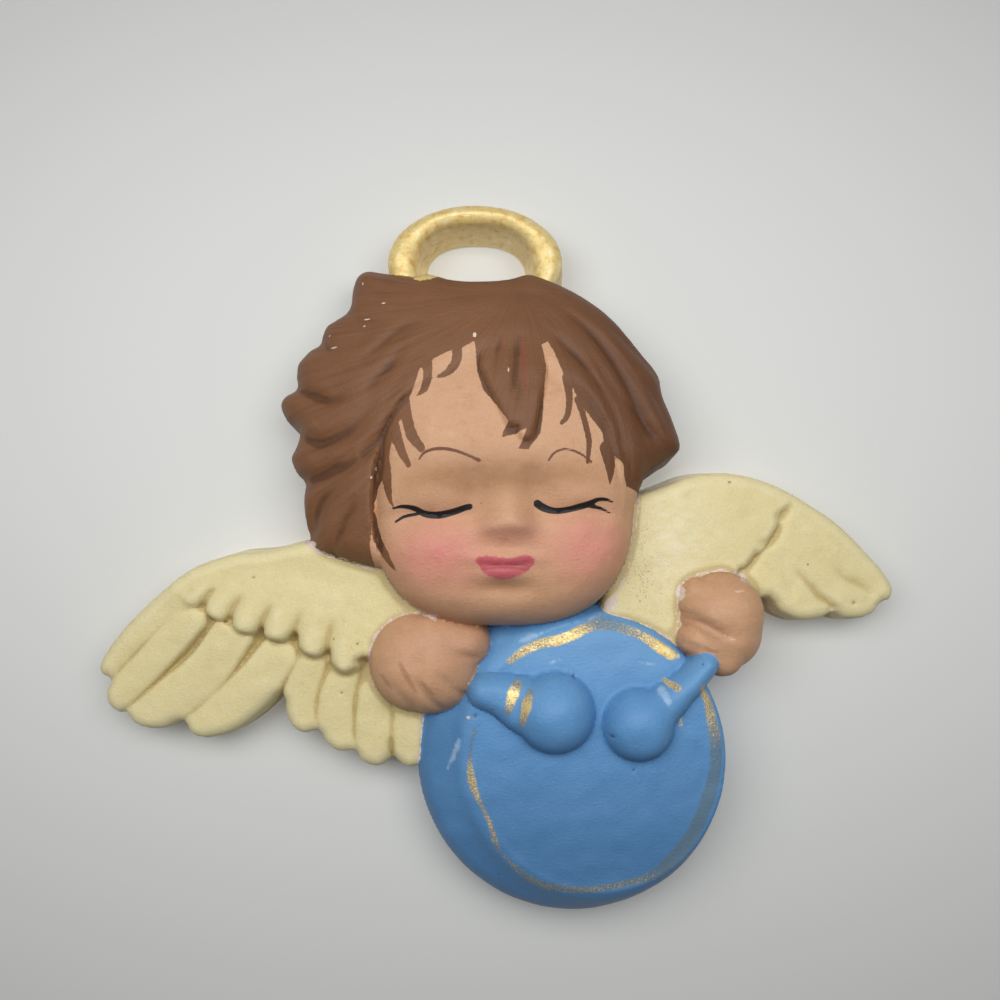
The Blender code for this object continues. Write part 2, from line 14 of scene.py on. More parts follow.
import bmesh
import bpy
import numpy as np
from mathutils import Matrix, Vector


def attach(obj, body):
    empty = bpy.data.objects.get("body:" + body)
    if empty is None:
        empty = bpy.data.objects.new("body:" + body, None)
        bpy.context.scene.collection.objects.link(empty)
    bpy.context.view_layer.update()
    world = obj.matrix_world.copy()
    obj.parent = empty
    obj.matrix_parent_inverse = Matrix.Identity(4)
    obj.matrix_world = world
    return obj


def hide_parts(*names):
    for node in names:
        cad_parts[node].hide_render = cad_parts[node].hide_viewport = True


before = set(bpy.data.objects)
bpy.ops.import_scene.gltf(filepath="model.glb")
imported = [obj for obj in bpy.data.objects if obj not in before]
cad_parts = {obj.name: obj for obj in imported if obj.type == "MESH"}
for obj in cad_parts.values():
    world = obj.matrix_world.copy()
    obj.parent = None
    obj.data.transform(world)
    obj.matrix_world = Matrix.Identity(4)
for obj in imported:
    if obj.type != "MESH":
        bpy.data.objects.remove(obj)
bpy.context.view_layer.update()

log = logging.getLogger("cherub_plaque")

Array = np.ndarray
Point = tuple[float, float]
Triple = tuple[float, float, float]
Colour = Triple
Points = tuple[Point, ...]
Row = tuple[float, ...]
Feed: TypeAlias = "Wire | float | Colour"

MM = 0.001
BELOW_BACK = -15.0
FAR_OUT = -1000.0
WAVE = 6.28


# Field tools: heights and distances over many points at once


def smooth_max(first: Array, second: Array, width: float = 0.7) -> Array:
    """The higher of two heights, with a soft fillet where they meet.

    Args:
        first: Heights of one form.
        second: Heights of the other.
        width: How far the fillet reaches, in millimetres.

    Returns:
        The joined heights.
    """
    spare = np.maximum(width - np.abs(first - second), 0.0)
    return np.maximum(first, second) + spare * spare / (4.0 * width)


def ease(low: float, high: float, value: Array) -> Array:
    """A soft step from 0 to 1 as the value goes from low to high.

    Args:
        low: Value where the step starts.
        high: Value where it ends.
        value: The values to weigh.

    Returns:
        The weights, from 0 to 1.
    """
    share = np.clip((value - low) / (high - low), 0.0, 1.0)
    return share * share * (3.0 - 2.0 * share)


@dataclass(frozen=True)
class CastEdge:
    """How cast plaster falls away at an outline, and how one form steps down to another."""

    wall_slope: float = 11.0
    spread: float = 0.4
    steepness: float = 0.96
    step_slope: float = 2.0
    step_edge: float = 0.9

    def shoulder(self, inside: Array, edge: float) -> Array:
        """How far a rounded edge has dropped at each distance inside its outline.

        Args:
            inside: Distance inside the outline.
            edge: Width of the rounding.

        Returns:
            The drop in millimetres.
        """
        beyond = 1.0 - np.clip(inside / edge, 0.0, 1.0)
        return edge * (1.0 - np.sqrt(1.0 - self.steepness * beyond * beyond))

    def wall(self, crest: Array, inside: Array, edge: float) -> Array:
        """Lowers a crest over a rounded edge and down a cast wall.

        Args:
            crest: Heights of the form's top.
            inside: Distance inside its outline.
            edge: Width of the rounding.

        Returns:
            Heights of the form with its wall.
        """
        inside = inside - self.spread
        return crest - self.shoulder(inside, edge) + self.wall_slope * np.minimum(inside, 0.0)

    def step(self, crest: Array, inside: Array, edge: float | None = None) -> Array:
        """Lowers a crest over a small edge and down a gentle slope to the form beside it.

        Args:
            crest: Heights of the form's top.
            inside: Distance inside its outline.
            edge: Width of the rounding, or the usual one.

        Returns:
            Heights of the form with its step.
        """
        edge = self.step_edge if edge is None else edge
        return crest - self.shoulder(inside, edge) + self.step_slope * np.minimum(inside, 0.0)


EDGE = CastEdge()


def inside_ellipse(
    x: Array, z: Array, centre: Point, half: Point, power: float = 2.0
) -> tuple[Array, Array]:
    """How far inside an ellipse, or a squarer one, each point lies, and its share of the radius.

    Args:
        x: Points' X.
        z: Points' Z.
        centre: Middle of the ellipse.
        half: Its half width and half height.
        power: 2 for an ellipse, more for a squarer outline.

    Returns:
        Distance inside, and the share of the radius.
    """
    across = np.abs((x - centre[0]) / half[0]) + 1e-6
    along = np.abs((z - centre[1]) / half[1]) + 1e-6
    share = (across**power + along**power) ** (1.0 / power)
    slope = np.hypot(across ** (power - 1) / half[0], along ** (power - 1) / half[1])
    return (1.0 - share) * share ** (power - 1) / slope, share


def curve_through(points: Points, steps: int = 7) -> tuple[Array, Array]:
    """Points along a smooth open curve through the given ones.

    Args:
        points: The points that the curve passes.
        steps: Pieces between one given point and the next.

    Returns:
        The curve's points, and each one's place counted in given points.
    """
    held = np.array(points, float)
    places = np.linspace(0.0, len(held) - 1.0, (len(held) - 1) * steps + 1)
    if len(held) == 2:
        return held[:1] + places[:, None] * (held[1:] - held[:1]), places
    index = np.minimum(places.astype(int), len(held) - 2)
    t = (places - index)[:, None]
    held = np.vstack([2 * held[0] - held[1], held, 2 * held[-1] - held[-2]])
    a, b, c, d = (held[index + shift] for shift in range(4))
    return b + 0.5 * t * (c - a + t * (2 * a - 5 * b + 4 * c - d + t * (3 * (b - c) + d - a))), places


def inside_outline(x: Array, z: Array, points: Points, smooth: bool = True) -> Array:
    """How far inside a closed outline each point lies.

    Args:
        x: Points' X.
        z: Points' Z.
        points: The outline's points in order.
        smooth: True for a curve through them, False for straight lines.

    Returns:
        Distance inside, negative outside.
    """
    curve = np.array(points, float)
    if smooth:
        held = tuple(points[-2:]) + tuple(points) + tuple(points[:2])
        curve = curve_through(held, 4)[0][8:-8]
    gap = np.full(x.shape, -FAR_OUT)
    within = np.zeros(x.shape, bool)
    for (ax, az), (bx, bz) in zip(curve, np.roll(curve, -1, axis=0)):
        run, rise = bx - ax, bz - az
        if run == 0 and rise == 0:
            continue
        share = np.clip(((x - ax) * run + (z - az) * rise) / (run * run + rise * rise), 0.0, 1.0)
        gap = np.minimum(gap, np.hypot(x - ax - share * run, z - az - share * rise))
        if rise != 0:
            within ^= ((az > z) != (bz > z)) & (x < ax + (z - az) * run / rise)
    return np.where(within, gap, -gap)


@dataclass(frozen=True)
class Stroke:
    """A tapering strip: a raised form, or a mark left by a brush."""

    line: Points
    half_widths: tuple[float, ...]
    heights: tuple[float, ...] = ()
    crown: float = 1.0
    edge: float = 2.2

    def trace(self, x: Array, z: Array, reach: float = 9.0) -> tuple[Array, Array, Array]:
        """Measures the points from the strip.

        Args:
            x: Points' X.
            z: Points' Z.
            reach: How far from the strip a point is still measured.

        Returns:
            Distance inside the strip, half width there, and place along it.
        """
        curve, places = curve_through(self.line)
        widths = np.interp(places, np.arange(len(self.line)), self.half_widths)
        inside = np.full(x.shape, FAR_OUT)
        width = np.ones(x.shape)
        place = np.zeros(x.shape)
        margin = max(self.half_widths) + reach
        low, high = curve.min(axis=0) - margin, curve.max(axis=0) + margin
        near = np.flatnonzero((x > low[0]) & (x < high[0]) & (z > low[1]) & (z < high[1]))
        px, pz = x[near], z[near]
        best, best_width, best_place = inside[near], width[near], place[near]
        for i in range(len(curve) - 1):
            step = curve[i + 1] - curve[i]
            share = ((px - curve[i][0]) * step[0] + (pz - curve[i][1]) * step[1]) / (step @ step)
            share = np.clip(share, 0.0, 1.0)
            gap = np.hypot(px - curve[i][0] - share * step[0], pz - curve[i][1] - share * step[1])
            here = widths[i] + share * (widths[i + 1] - widths[i])
            deeper = here - gap > best
            best = np.where(deeper, here - gap, best)
            best_width = np.where(deeper, here, best_width)
            best_place = np.where(deeper, places[i] + share * (places[i + 1] - places[i]), best_place)
        inside[near], width[near], place[near] = best, best_width, best_place
        return inside, width, place

    def crest(self, x: Array, z: Array) -> tuple[Array, Array]:
        """Height of the strip's domed top, and how far inside the strip each point lies."""
        inside, width, place = self.trace(x, z)
        height = np.interp(place, np.arange(len(self.line)), self.heights)
        off_middle = np.clip(1.0 - inside / width, 0.0, 1.0)
        return height - self.crown * off_middle**2, inside


@dataclass(frozen=True)
class Groove:
    """A soft furrow that runs out along its length, or at both ends where it starts inside a form."""

    line: Points
    half_width: float
    depth: float
    from_edge: bool = True

    def cut(self, x: Array, z: Array) -> Array:
        """Depth of the furrow at each point.

        Args:
            x: Points' X.
            z: Points' Z.

        Returns:
            The depths in millimetres.
        """
        inside, _, place = Stroke(self.line, (0.0,) * len(self.line)).trace(x, z, 3 * self.half_width)
        along = place / (len(self.line) - 1)
        left = 1.0 - (along if self.from_edge else 2.0 * along - 1.0) ** 2
        return self.depth * left * np.exp(-((inside / self.half_width) ** 2))


@dataclass(frozen=True)
class Bump:
    """A soft swelling, or a hollow where its height is negative."""

    centre: Point
    spread: Point
    height: float = 1.0

    def rise(self, x: Array, z: Array) -> Array:
        """Height that the swelling adds at each point."""
        across = (x - self.centre[0]) / self.spread[0]
        along = (z - self.centre[1]) / self.spread[1]
        return self.height * np.exp(-0.5 * (across**2 + along**2))


Bumps = tuple[Bump, ...]
Grooves = tuple[Groove, ...]
Strokes = tuple[Stroke, ...]


def bumps(*rows: Row) -> Bumps:
    """Swellings, each from its centre's X and Z, its spread in X and Z, and its height where it isn't 1."""
    return tuple(Bump((x, z), (wide, high), *height) for x, z, wide, high, *height in rows)


def furrows(*rows: Row, from_edge: bool = True) -> Grooves:
    """Furrows, each from its half width, its depth, and the X and Z of each of its points."""
    return tuple(Groove(tuple(zip(row[2::2], row[3::2])), row[0], row[1], from_edge) for row in rows)


def marks(*rows: Row) -> Strokes:
    """Brush marks, each from the X, Z and half width at each of its points."""
    return tuple(Stroke(tuple(zip(row[::3], row[1::3])), row[2::3]) for row in rows)


def strips(*rows: Row, crown: float = 1.0, edge: float = 2.2) -> Strokes:
    """Raised strips, each from the X, Z, half width and height at each of its points."""
    return tuple(Stroke(tuple(zip(row[::4], row[1::4])), row[2::4], row[3::4], crown, edge) for row in rows)


def unevenness(x: Array, z: Array, depth: float = 0.02) -> Array:
    """The slight waviness of a surface cast from a hand-cut mould.

    Args:
        x: Points' X.
        z: Points' Z.
        depth: Height of each of its waves.

    Returns:
        Heights to add.
    """
    chance = np.random.default_rng(7)
    total = np.zeros(x.shape)
    angles, shifts = chance.uniform(0, WAVE, 14), chance.uniform(0, WAVE, 14)
    for length, angle, shift in zip(np.geomspace(3.2, 12.0, 14), angles, shifts):
        bent = x * math.cos(angle) + z * math.sin(angle)
        across = z * math.cos(angle) - x * math.sin(angle)
        swing = 1.7 * np.sin(across / length + shift)
        total += np.sin(WAVE / length * bent + swing) * (0.2 + length / 10.0)
    return depth * total


def laid_together(
    x: Array, z: Array, strokes: Strokes, ground: Array | float = 0.0, width: float = 0.4
) -> Array:
    """Surface of strips laid side by side with soft steps between.

    Args:
        x: Points' X.
        z: Points' Z.
        strokes: The strips.
        ground: Height that they are laid on.
        width: Reach of the fillet between them.

    Returns:
        The surface's heights.
    """
    surface = np.full(x.shape, BELOW_BACK)
    for stroke in strokes:
        crest, within = stroke.crest(x, z)
        surface = smooth_max(surface, EDGE.step(ground + crest, within), width)
    return surface


def deepest(x: Array, z: Array, grooves: Grooves) -> Array:
    """Depth of the deepest of several furrows at each point."""
    return np.max([groove.cut(x, z) for groove in grooves], axis=0)


def union_of(x: Array, z: Array, strokes: Strokes, width: float = 0.7) -> Array:
    """The soft union of strips that each have their own cast edge."""
    total = np.full(x.shape, BELOW_BACK)
    for stroke in strokes:
        crest, inside = stroke.crest(x, z)
        total = smooth_max(total, EDGE.wall(crest, inside, stroke.edge), width)
    return total


def widest(x: Array, z: Array, strokes: Strokes) -> Array:
    """Distance inside the nearest of several brush marks."""
    return np.max([stroke.trace(x, z)[0] for stroke in strokes], axis=0)


def in_scene(name: str, data: bpy.types.ID) -> bpy.types.Object:
    """Puts a new object in the scene.

    Args:
        name: The object's name.
        data: Its mesh, light or camera.

    Returns:
        The object.
    """
    made = bpy.data.objects.new(name, data)
    bpy.context.scene.collection.objects.link(made)
    return made


# The forms of the casting


@dataclass
class Halo:
    """The flattened ring above the head, with the hole that the plaque hangs by."""

    centre: Point = (-4.8, 54.8)
    half: Point = (17.2, 11.6)
    hole_centre: Point = (-4.8, 53.6)
    hole_half: Point = (10.7, 7.9)
    hole_power: float = 2.5
    top: float = 10.2
    edge: float = 2.6
    inner_draft: float = 0.55

    def height(self, x: Array, z: Array) -> Array:
        """Height of the ring's band, whose hole narrows to the back."""
        within, _ = inside_ellipse(x, z, self.centre, self.half)
        in_hole, _ = inside_ellipse(x, z, self.hole_centre, self.hole_half, self.hole_power)
        aside = np.clip(np.abs(x - self.hole_centre[0]) / self.hole_half[0], 0.0, 1.0)
        beside = np.where(in_hole > 0, -in_hole * (1.0 - self.inner_draft * aside), -in_hole)
        return EDGE.wall(np.full(x.shape, self.top), np.minimum(within, beside), self.edge)


@dataclass
class Face:
    """The full round face with closed eyes, a button nose and small lips."""

    centre: Point = (0.4, 12.0)
    half: Point = (24.2, 26.3)
    power: float = 2.75
    top: float = 24.0
    fall: float = 5.0
    edge: float = 5.5
    features: Bumps = bumps(
        (-11.4, -2, 6.4, 5.6, 1.5), (14.2, -1.4, 6.4, 5.6, 1.5), (-11, 9.6, 5.2, 2.5, 1.3),
        (13, 10.2, 5.2, 2.5, 1.3), (-11.2, 5.2, 6.6, 1.2, -0.9), (12.8, 5.9, 6.6, 1.2, -0.9),
        (-4.6, 8.6, 1.8, 3.2, -0.7), (7, 9, 1.8, 3.2, -0.7), (1.4, 4.2, 2.7, 2.3, 2.2),
        (1.2, 8.8, 2, 3.8, 0.8), (-1.8, 3.2, 1.4, 1.2, 0.6), (4.4, 3.3, 1.4, 1.2, 0.6),
        (0.5, -1.9, 3.8, 0.9, 1.2), (0.5, -4.3, 2.9, 1.1, 1.4), (0.4, -7, 3.2, 0.9, -0.6),
        (-0.2, -10.2, 4.6, 2.6, 0.9),
    )
    creases: Grooves = furrows(
        (0.34, 0.35, 0.7, -3, -1.6, -3.1, -4.2, -2.4), (0.34, 0.35, 0.7, -3, 3.2, -3.1, 5.8, -2.4),
        (0.4, 0.3, -10.3, 5.3, -13.2, 5.8, -18, 6.6), (0.4, 0.3, -10.3, 5.3, -7.9, 5.8, -5, 6.8),
        (0.4, 0.3, 11.4, 6.2, 15.1, 7.2, 19, 7.7), (0.4, 0.3, 11.4, 6.2, 9.2, 6.1, 6.3, 7.3),
        (0.5, 0.25, 0.8, 0.9, 0.7, -0.9),
    )

    def dome(self, x: Array, z: Array) -> Array:
        """The plain dome under the features."""
        inside, share = inside_ellipse(x, z, self.centre, self.half, self.power)
        return EDGE.wall(self.top - self.fall * share**2.4, inside, self.edge)

    def height(self, x: Array, z: Array) -> Array:
        """Height of the face with its features."""
        raised = self.dome(x, z)
        for feature in self.features:
            raised = raised + feature.rise(x, z)
        return raised - deepest(x, z, self.creases)


@dataclass
class Hair:
    """The hair: a mass with a lobed rim, grooves between its locks, and a fringe."""

    face: Face
    centre: Point = (-1.0, 17.0)
    radius: float = 40.0
    top: float = 23.3
    fall: float = 10.5
    lift: float = 0.5
    edge: float = 4.5
    parting: Point = (3.0, 46.0)
    outline: Points = (
        (-13.1, 51.5), (-17, 51.4), (-21.8, 52.5), (-25.4, 53.4), (-27.8, 52.2), (-28.6, 49), (-28.8, 45.8),
        (-30.6, 43.5), (-33.2, 41.8), (-34.4, 38.7), (-36.6, 37), (-38.6, 34.7), (-38.8, 31.8),
        (-38.8, 30.2), (-41.2, 28.3), (-41.8, 26.2), (-40.2, 23.2), (-38.2, 21.6), (-38.1, 18.8),
        (-39.2, 16.4), (-38, 13.4), (-36.7, 11.6), (-36.5, 8), (-36, 3), (-34, -1), (-22, -4), (0, -6),
        (20, 0), (25.2, 9.6), (26.6, 12.8), (30.5, 15.6), (33.3, 17.8), (32.2, 23), (30.4, 27.4),
        (29.8, 31.6), (26, 36.4), (23, 40.1), (18.8, 44.4), (13.9, 47.6), (9.4, 49.8), (5.4, 51.1),
        (1.4, 49.9), (-4, 49.5), (-9.4, 50.1),
    )
    hairline_centre: Point = (-0.7, 8.0)
    hairline_half: Point = (21.6, 27.5)
    hairline_edge: float = 0.8
    locks: Strokes = (
        strips((-16, 45, 3.6, -0.6, -22, 49, 2.6, 0.5, -25, 50.4, 1.8, 0.4), crown=0.6)
        + strips(
            (0, 42, 3, -0.9, 0.4, 32, 4, 0.3, 2.4, 22.2, 1.9, 0.5),
            (5.4, 43, 2.4, -0.9, 5.6, 31, 2.8, 0.4, 4.4, 19.4, 1.5, 0.5), crown=0.5,
        )
        + strips((12, 40, 2.8, -0.8, 23, 29, 3.6, 0.5, 31.4, 18.9, 2.4, 0.8), crown=0.7)
        + strips((11, 36, 2.4, -0.8, 20, 24, 3, 0.4, 25.4, 12.6, 2, 0.6), crown=0.6)
    )
    grooves: Grooves = (
        furrows(
            (1.3, 1, -39.4, 30, -34.4, 27.6, -30.3, 26.1, -26.1, 27.4),
            (1.5, 1.2, -38.6, 21.6, -32.9, 18.6, -28.9, 19.3, -25, 21.5, -21, 25.4),
            (1.7, 1.5, -36.4, 11.6, -32.6, 12.3, -29, 13.8, -26.5, 14.9, -22, 17.4),
            (1.3, 1.3, -18.6, 21.4, -20.6, 19, -23.4, 16.6, -27, 14.6),
            (1.8, 1.4, -34.4, 2, -32.3, 7.6, -29.8, 10.3, -26.2, 12.8),
            (1.1, 0.9, -34.6, 38.4, -32.4, 37.4, -30.2, 34.6), (1.5, 0.8, -29.4, 45, -26.4, 42, -21, 41),
            (1.2, 0.6, -30, -0.8, -27.4, 4.2, -24.6, 9.4), (1, 0.8, 31.6, 27.6, 27, 33, 20.6, 39, 14, 43.4),
        )
        + furrows(
            (1.3, 0.4, -26.4, 32.6, -22.6, 34.6, -17.6, 38.6, -12, 41),
            (1.2, 0.4, -24.4, 27.2, -20.4, 30.6, -16.6, 35.4),
            (1.4, 0.35, -14, 46.6, -4, 45.6, 6, 45.4, 14, 42.6),
            (1.1, 0.7, 9.5, 43.6, 16.4, 37.7, 21.5, 30.3, 25.4, 22, 28.4, 17.2),
            (0.9, 0.5, 7.2, 39.3, 14.4, 31.9, 18.9, 24.6, 22.2, 15.4),
            (0.8, 0.5, 25.4, 30.6, 28.4, 25.4, 30.6, 19.4), (0.7, 0.4, 2.6, 24.6, 2.6, 31, 3.4, 38),
            (0.6, 0.25, -1.6, 28.6, -0.6, 33, 0.6, 38.6), from_edge=False,
        )
    )
    groove_strength: float = 1.25
    strand_depth: float = 0.05
    bends: tuple[float, float] = (0.0058, 0.0154)

    def combed(self, x: Array, z: Array) -> tuple[Array, Array]:
        """Which strand each point lies on, as an angle, and how far along it.

        Args:
            x: Points' X.
            z: Points' Z.

        Returns:
            The strand's angle in radians, and the distance from the parting.
        """
        away = np.hypot(x - self.parting[0], z - self.parting[1])
        angle = np.arctan2(x - self.parting[0], self.parting[1] - z)
        left, right = self.bends
        bend = left + (right - left) * ease(-0.5, 0.5, angle)
        return angle + bend * away, away

    def strands(self, x: Array, z: Array) -> Array:
        """The fine ridges and furrows that follow the strands."""
        angle, away = self.combed(x, z)
        ridges = np.sin(150 * angle + 3.0 * np.sin(21 * angle) + 0.03 * away)
        coarse = np.sin(61 * angle + 2.0 * np.sin(9 * angle) + 1.3)
        across, along = 0.31 * x + 1.3 * np.sin(0.23 * z) + 0.8, 0.27 * z + 1.1 * np.sin(0.19 * x)
        patchy = 0.5 + 0.5 * np.sin(across) * np.sin(along)
        return self.strand_depth * (ridges + 1.5 * coarse) * patchy * ease(9.0, 26.0, away)

    def height(self, x: Array, z: Array) -> Array:
        """Height of the hair over the head's dome."""
        away = np.hypot(x - self.centre[0], z - self.centre[1]) / self.radius
        ground = smooth_max(self.top - self.fall * away * away, self.face.dome(x, z), 1.5) + self.lift
        into_face, _ = inside_ellipse(x, z, self.hairline_centre, self.hairline_half)
        locks = laid_together(x, z, self.locks, ground)
        softness = self.hairline_edge + 5.0 * ease(25.0, 32.0, z)
        rim = EDGE.step(ground, softness - self.hairline_edge - into_face, softness)
        mass = smooth_max(rim, locks, 0.4)
        mass = mass - self.groove_strength * deepest(x, z, self.grooves)
        return EDGE.wall(mass, inside_outline(x, z, self.outline), self.edge)


@dataclass
class Wings:
    """Both wings: feathers, the arm over their roots, and the scalloped coverts over both."""

    edge: float = 2.4
    outlines: tuple[Points, ...] = (
        (
            (-12, -4), (-22, 1), (-30, 2.2), (-37.7, 1.1), (-43.4, -0.3), (-49, -0.7), (-52.8, -1.7),
            (-56.5, -3), (-60.2, -5.2), (-63.9, -8), (-69, -12.7), (-72.8, -17), (-75.4, -21.6), (-75, -24),
            (-73.6, -25), (-74.2, -27), (-73.6, -29.4), (-71.6, -31.2), (-70.1, -31.5), (-68.8, -33),
            (-66.4, -34), (-62.8, -34.2), (-59.6, -32.9), (-57.9, -35), (-55.2, -35.9), (-51.1, -35.3),
            (-47.4, -33.5), (-44.3, -31.1), (-41, -28.2), (-40.3, -31), (-39, -33.6), (-36.6, -34.9),
            (-33.9, -34.6), (-32.7, -36.5), (-30.2, -38.2), (-27.2, -38.3), (-26.2, -39.7), (-24, -40.8),
            (-21.9, -40.8), (-20.5, -39.9), (-19.4, -39.9), (-17.6, -40.8), (-15.4, -40.8), (-8, -38),
            (-4, -20),
        ),
        (
            (20, 2), (22, 8.2), (26, 10.1), (30.3, 11.7), (35.7, 13.7), (41.4, 14.3), (46.9, 13.6),
            (52.5, 11.7), (57.9, 8.8), (63.5, 5.2), (68.9, -0.1), (72.7, -4.4), (74.4, -7.6), (73.8, -10),
            (71.9, -10.9), (70.6, -12.6), (67.6, -13.8), (64.4, -13.7), (62.7, -12.7), (60.6, -13.6),
            (56.6, -14.1), (52.5, -12.6), (49, -10), (40, -20), (28, -20), (18, -12),
        ),
    )
    arms: Strokes = (
        strips(
            (-20, -8.4, 9, 12.7, -30, -7, 9, 12.2, -40, -5.2, 6.8, 11.5, -50, -5.6, 5, 10.8,
             -60, -9, 3, 10), (24, 1, 9, 12.6, 34, 4, 9.8, 12, 43, 5.4, 8.4, 11.3, 48, 6.6, 4.6, 10.8),
            (21, -6.5, 10.6, 12.2, 36, -8.5, 8, 9.4), crown=0.8,
        )
        + strips((-18, -24, 8, 9, -40, -20, 5, 8.6), crown=0.3)
    )
    feathers: Strokes = (
        strips(
            (-58.8, -8.4, 3.5, 10, -65.2, -13.2, 3.1, 9.4, -70.9, -19.1, 2.9, 9, -76, -24.8, 2.7, 8.7),
            (-57.7, -13, 3.3, 9.7, -63.1, -19.1, 3.3, 9.3, -68.9, -25.3, 3.2, 9, -76, -32, 3, 8.7),
            (-49.8, -15.9, 4, 9.8, -54.5, -22.9, 4.3, 9.4, -60.7, -28.2, 4.4, 9, -70, -36, 4.4, 8.7),
            (-41.2, -20, 3.8, 9.9, -45.4, -25.5, 4.3, 9.5, -50.8, -30.4, 4.4, 9.1, -59, -38, 4.3, 8.7),
            (-34.2, -20, 2.9, 10, -36.5, -25.5, 3.3, 9.6, -37.3, -30, 3.5, 9.4, -36.8, -38, 3.6, 9.1),
            (-28.7, -23.1, 3.1, 10, -30.3, -28.2, 3.5, 9.7, -30.4, -32.8, 3.7, 9.5, -29.8, -41, 3.6, 9.2),
            (-22.9, -27.3, 3.5, 10, -23.4, -33.7, 3.6, 9.7, -23.2, -43, 3.5, 9.3),
            (-16.8, -28, 3, 10.1, -17, -36.4, 3.1, 9.8, -16.8, -43, 3.1, 9.4), crown=0.6,
        )
        + strips(
            (46, -2, 6.6, 9.6, 54.1, -9.3, 4.6, 9.4, 61.4, -15, 3.5, 8.9),
            (54, 0.4, 6, 9.6, 63.1, -8, 4.4, 9.3, 70.7, -14.5, 3.1, 8.8),
            (54, 5, 6, 9.7, 65.4, -3.5, 3.8, 9.3, 76, -11.6, 2.5, 8.7),
            (52, 8, 6, 10, 64.4, 1.7, 4.6, 9.4, 75.5, -7.4, 3.1, 8.8), crown=0.3,
        )
    )
    covert_outlines: tuple[Points, ...] = (
        (
            (-62, -8.4), (-59.8, -9.6), (-57.9, -10.9), (-56.1, -11.3), (-55, -10.9), (-54.5, -12.2),
            (-52.9, -13.4), (-51.2, -13.8), (-50, -13.3), (-49.4, -14.7), (-47.9, -15.8), (-45.7, -16),
            (-44.1, -15), (-43.5, -16.3), (-42, -17.1), (-39.8, -17.3), (-38.2, -16), (-37.2, -16.3),
            (-36.9, -18.1), (-35.6, -19.5), (-33.6, -20.1), (-31.9, -19.2), (-31.2, -19), (-30.8, -20.8),
            (-29.5, -22.4), (-28, -22.9), (-26.3, -21.8), (-25, -20), (-14, -18), (-14, 12), (-50, 12),
            (-66, 4),
        ),
        (
            (56.4, 11.6), (54.6, 8.2), (53.6, 7), (52.5, 6.3), (51.6, 5.8), (51.9, 4.8), (51.8, 3.5),
            (51.3, 2.4), (50.6, 1.5), (49.5, 0.8), (48.2, 0.5), (47.9, -0.4), (47.7, -1.4), (47.2, -2.5),
            (46.5, -3.2), (45.4, -4), (44, -5), (42, -12), (38, -22), (24, -26), (10, -14), (12, 20),
            (40, 26), (54, 20),
        ),
    )
    covert_height: float = 14.5
    covert_slope: float = 0.073
    covert_edge: float = 1.6
    covert_fillets: tuple[float, ...] = (0.5, 0.6)
    shoulder_height: float = 15.2
    shoulder_slope: float = 0.088
    covert_grooves: Grooves = (
        furrows(
            (0.7, 1, -55.4, -11, -53.6, -8.4, -51.8, -7.2),
            (0.8, 1.1, -50.2, -13.6, -49.2, -11.2, -47, -8.2),
            (0.8, 1.2, -44.4, -16.2, -43.6, -13.4, -41.6, -10.2),
            (0.8, 1.1, -38, -17.2, -37.6, -15, -36.2, -11.2),
            (0.8, 1, -31.9, -19.9, -31.4, -17, -30.4, -12.8),
        )
        + furrows((2.6, 0.6, -56, -9, -49.7, -5.8, -42, -4.3, -33.1, -5.4, -26, -8.5), from_edge=False)
    )
    covert_ridges: Grooves = furrows(
        (1.3, 0.35, -57.4, -10, -54.6, -7.4, -51.6, -5), (1.5, 0.6, -53, -12.4, -51.4, -9.6, -48.6, -6.4),
        (1.6, 0.7, -47.4, -14.8, -46.4, -11.6, -43.6, -8),
        (1.6, 0.8, -41.2, -15.8, -40.6, -12.6, -38.4, -9.2),
        (1.6, 0.7, -34.8, -18.6, -34.2, -15, -32.4, -10.6),
        (1.6, 0.6, -28.6, -21.4, -28.2, -17, -27, -12.2),
    )
    hollows: Grooves = (
        furrows(
            (0.7, 1.1, 62.3, -11.4, 61.1, -10.3, 59.6, -9.2, 58.4, -7.7, 57.1, -6.3, 55.7, -4.8,
             54.4, -3.1), (0.7, 1.2, -19.6, -41, -20, -37.8, -20.2, -34.6),
        )
        + furrows(
            (0.9, 0.6, 70.2, -9.8, 69.2, -8.5, 67, -7, 64.8, -5.9, 63, -4.3, 61.1, -2.4),
            (1, 0.5, 54.8, 8.3, 53.7, 6.9, 52.6, 5.6, 50.9, 5.7),
            (0.95, 0.95, 51.6, 4.8, 52, 3.3, 51.2, 1.9, 50, 0.8, 48, 0.4),
            (0.9, 0.9, 47.4, -0.2, 47.4, -1.6, 46.8, -2.7, 45.9, -3.8, 43.8, -4.4),
            (1.1, 0.25, 55.5, -9.8, 53.7, -7.6, 52.3, -4.6), from_edge=False,
        )
    )

    def height(self, x: Array, z: Array) -> Array:
        """Height of the wings."""
        feathers = laid_together(x, z, self.feathers)
        surface = smooth_max(feathers, laid_together(x, z, self.arms, width=1.0), 0.5)
        for outline, fillet in zip(self.covert_outlines, self.covert_fillets):
            crest = self.covert_height - self.covert_slope * np.abs(x)
            layer = EDGE.step(crest, inside_outline(x, z, outline), self.covert_edge)
            surface = smooth_max(surface, layer, fillet)
        on_coverts = ease(-0.6, 0.8, inside_outline(x, z, self.covert_outlines[0]))
        surface = surface + on_coverts * deepest(x, z, self.covert_ridges)
        surface = surface - deepest(x, z, self.covert_grooves)
        calm = ease(6.6, 9.6, z) * ease(49.0, 53.0, x)
        surface = surface + calm * (self.shoulder_height - self.shoulder_slope * x - surface)
        surface = surface - deepest(x, z, self.hollows)
        inside = np.max([inside_outline(x, z, outline) for outline in self.outlines], axis=0)
        return EDGE.wall(surface, inside, self.edge)


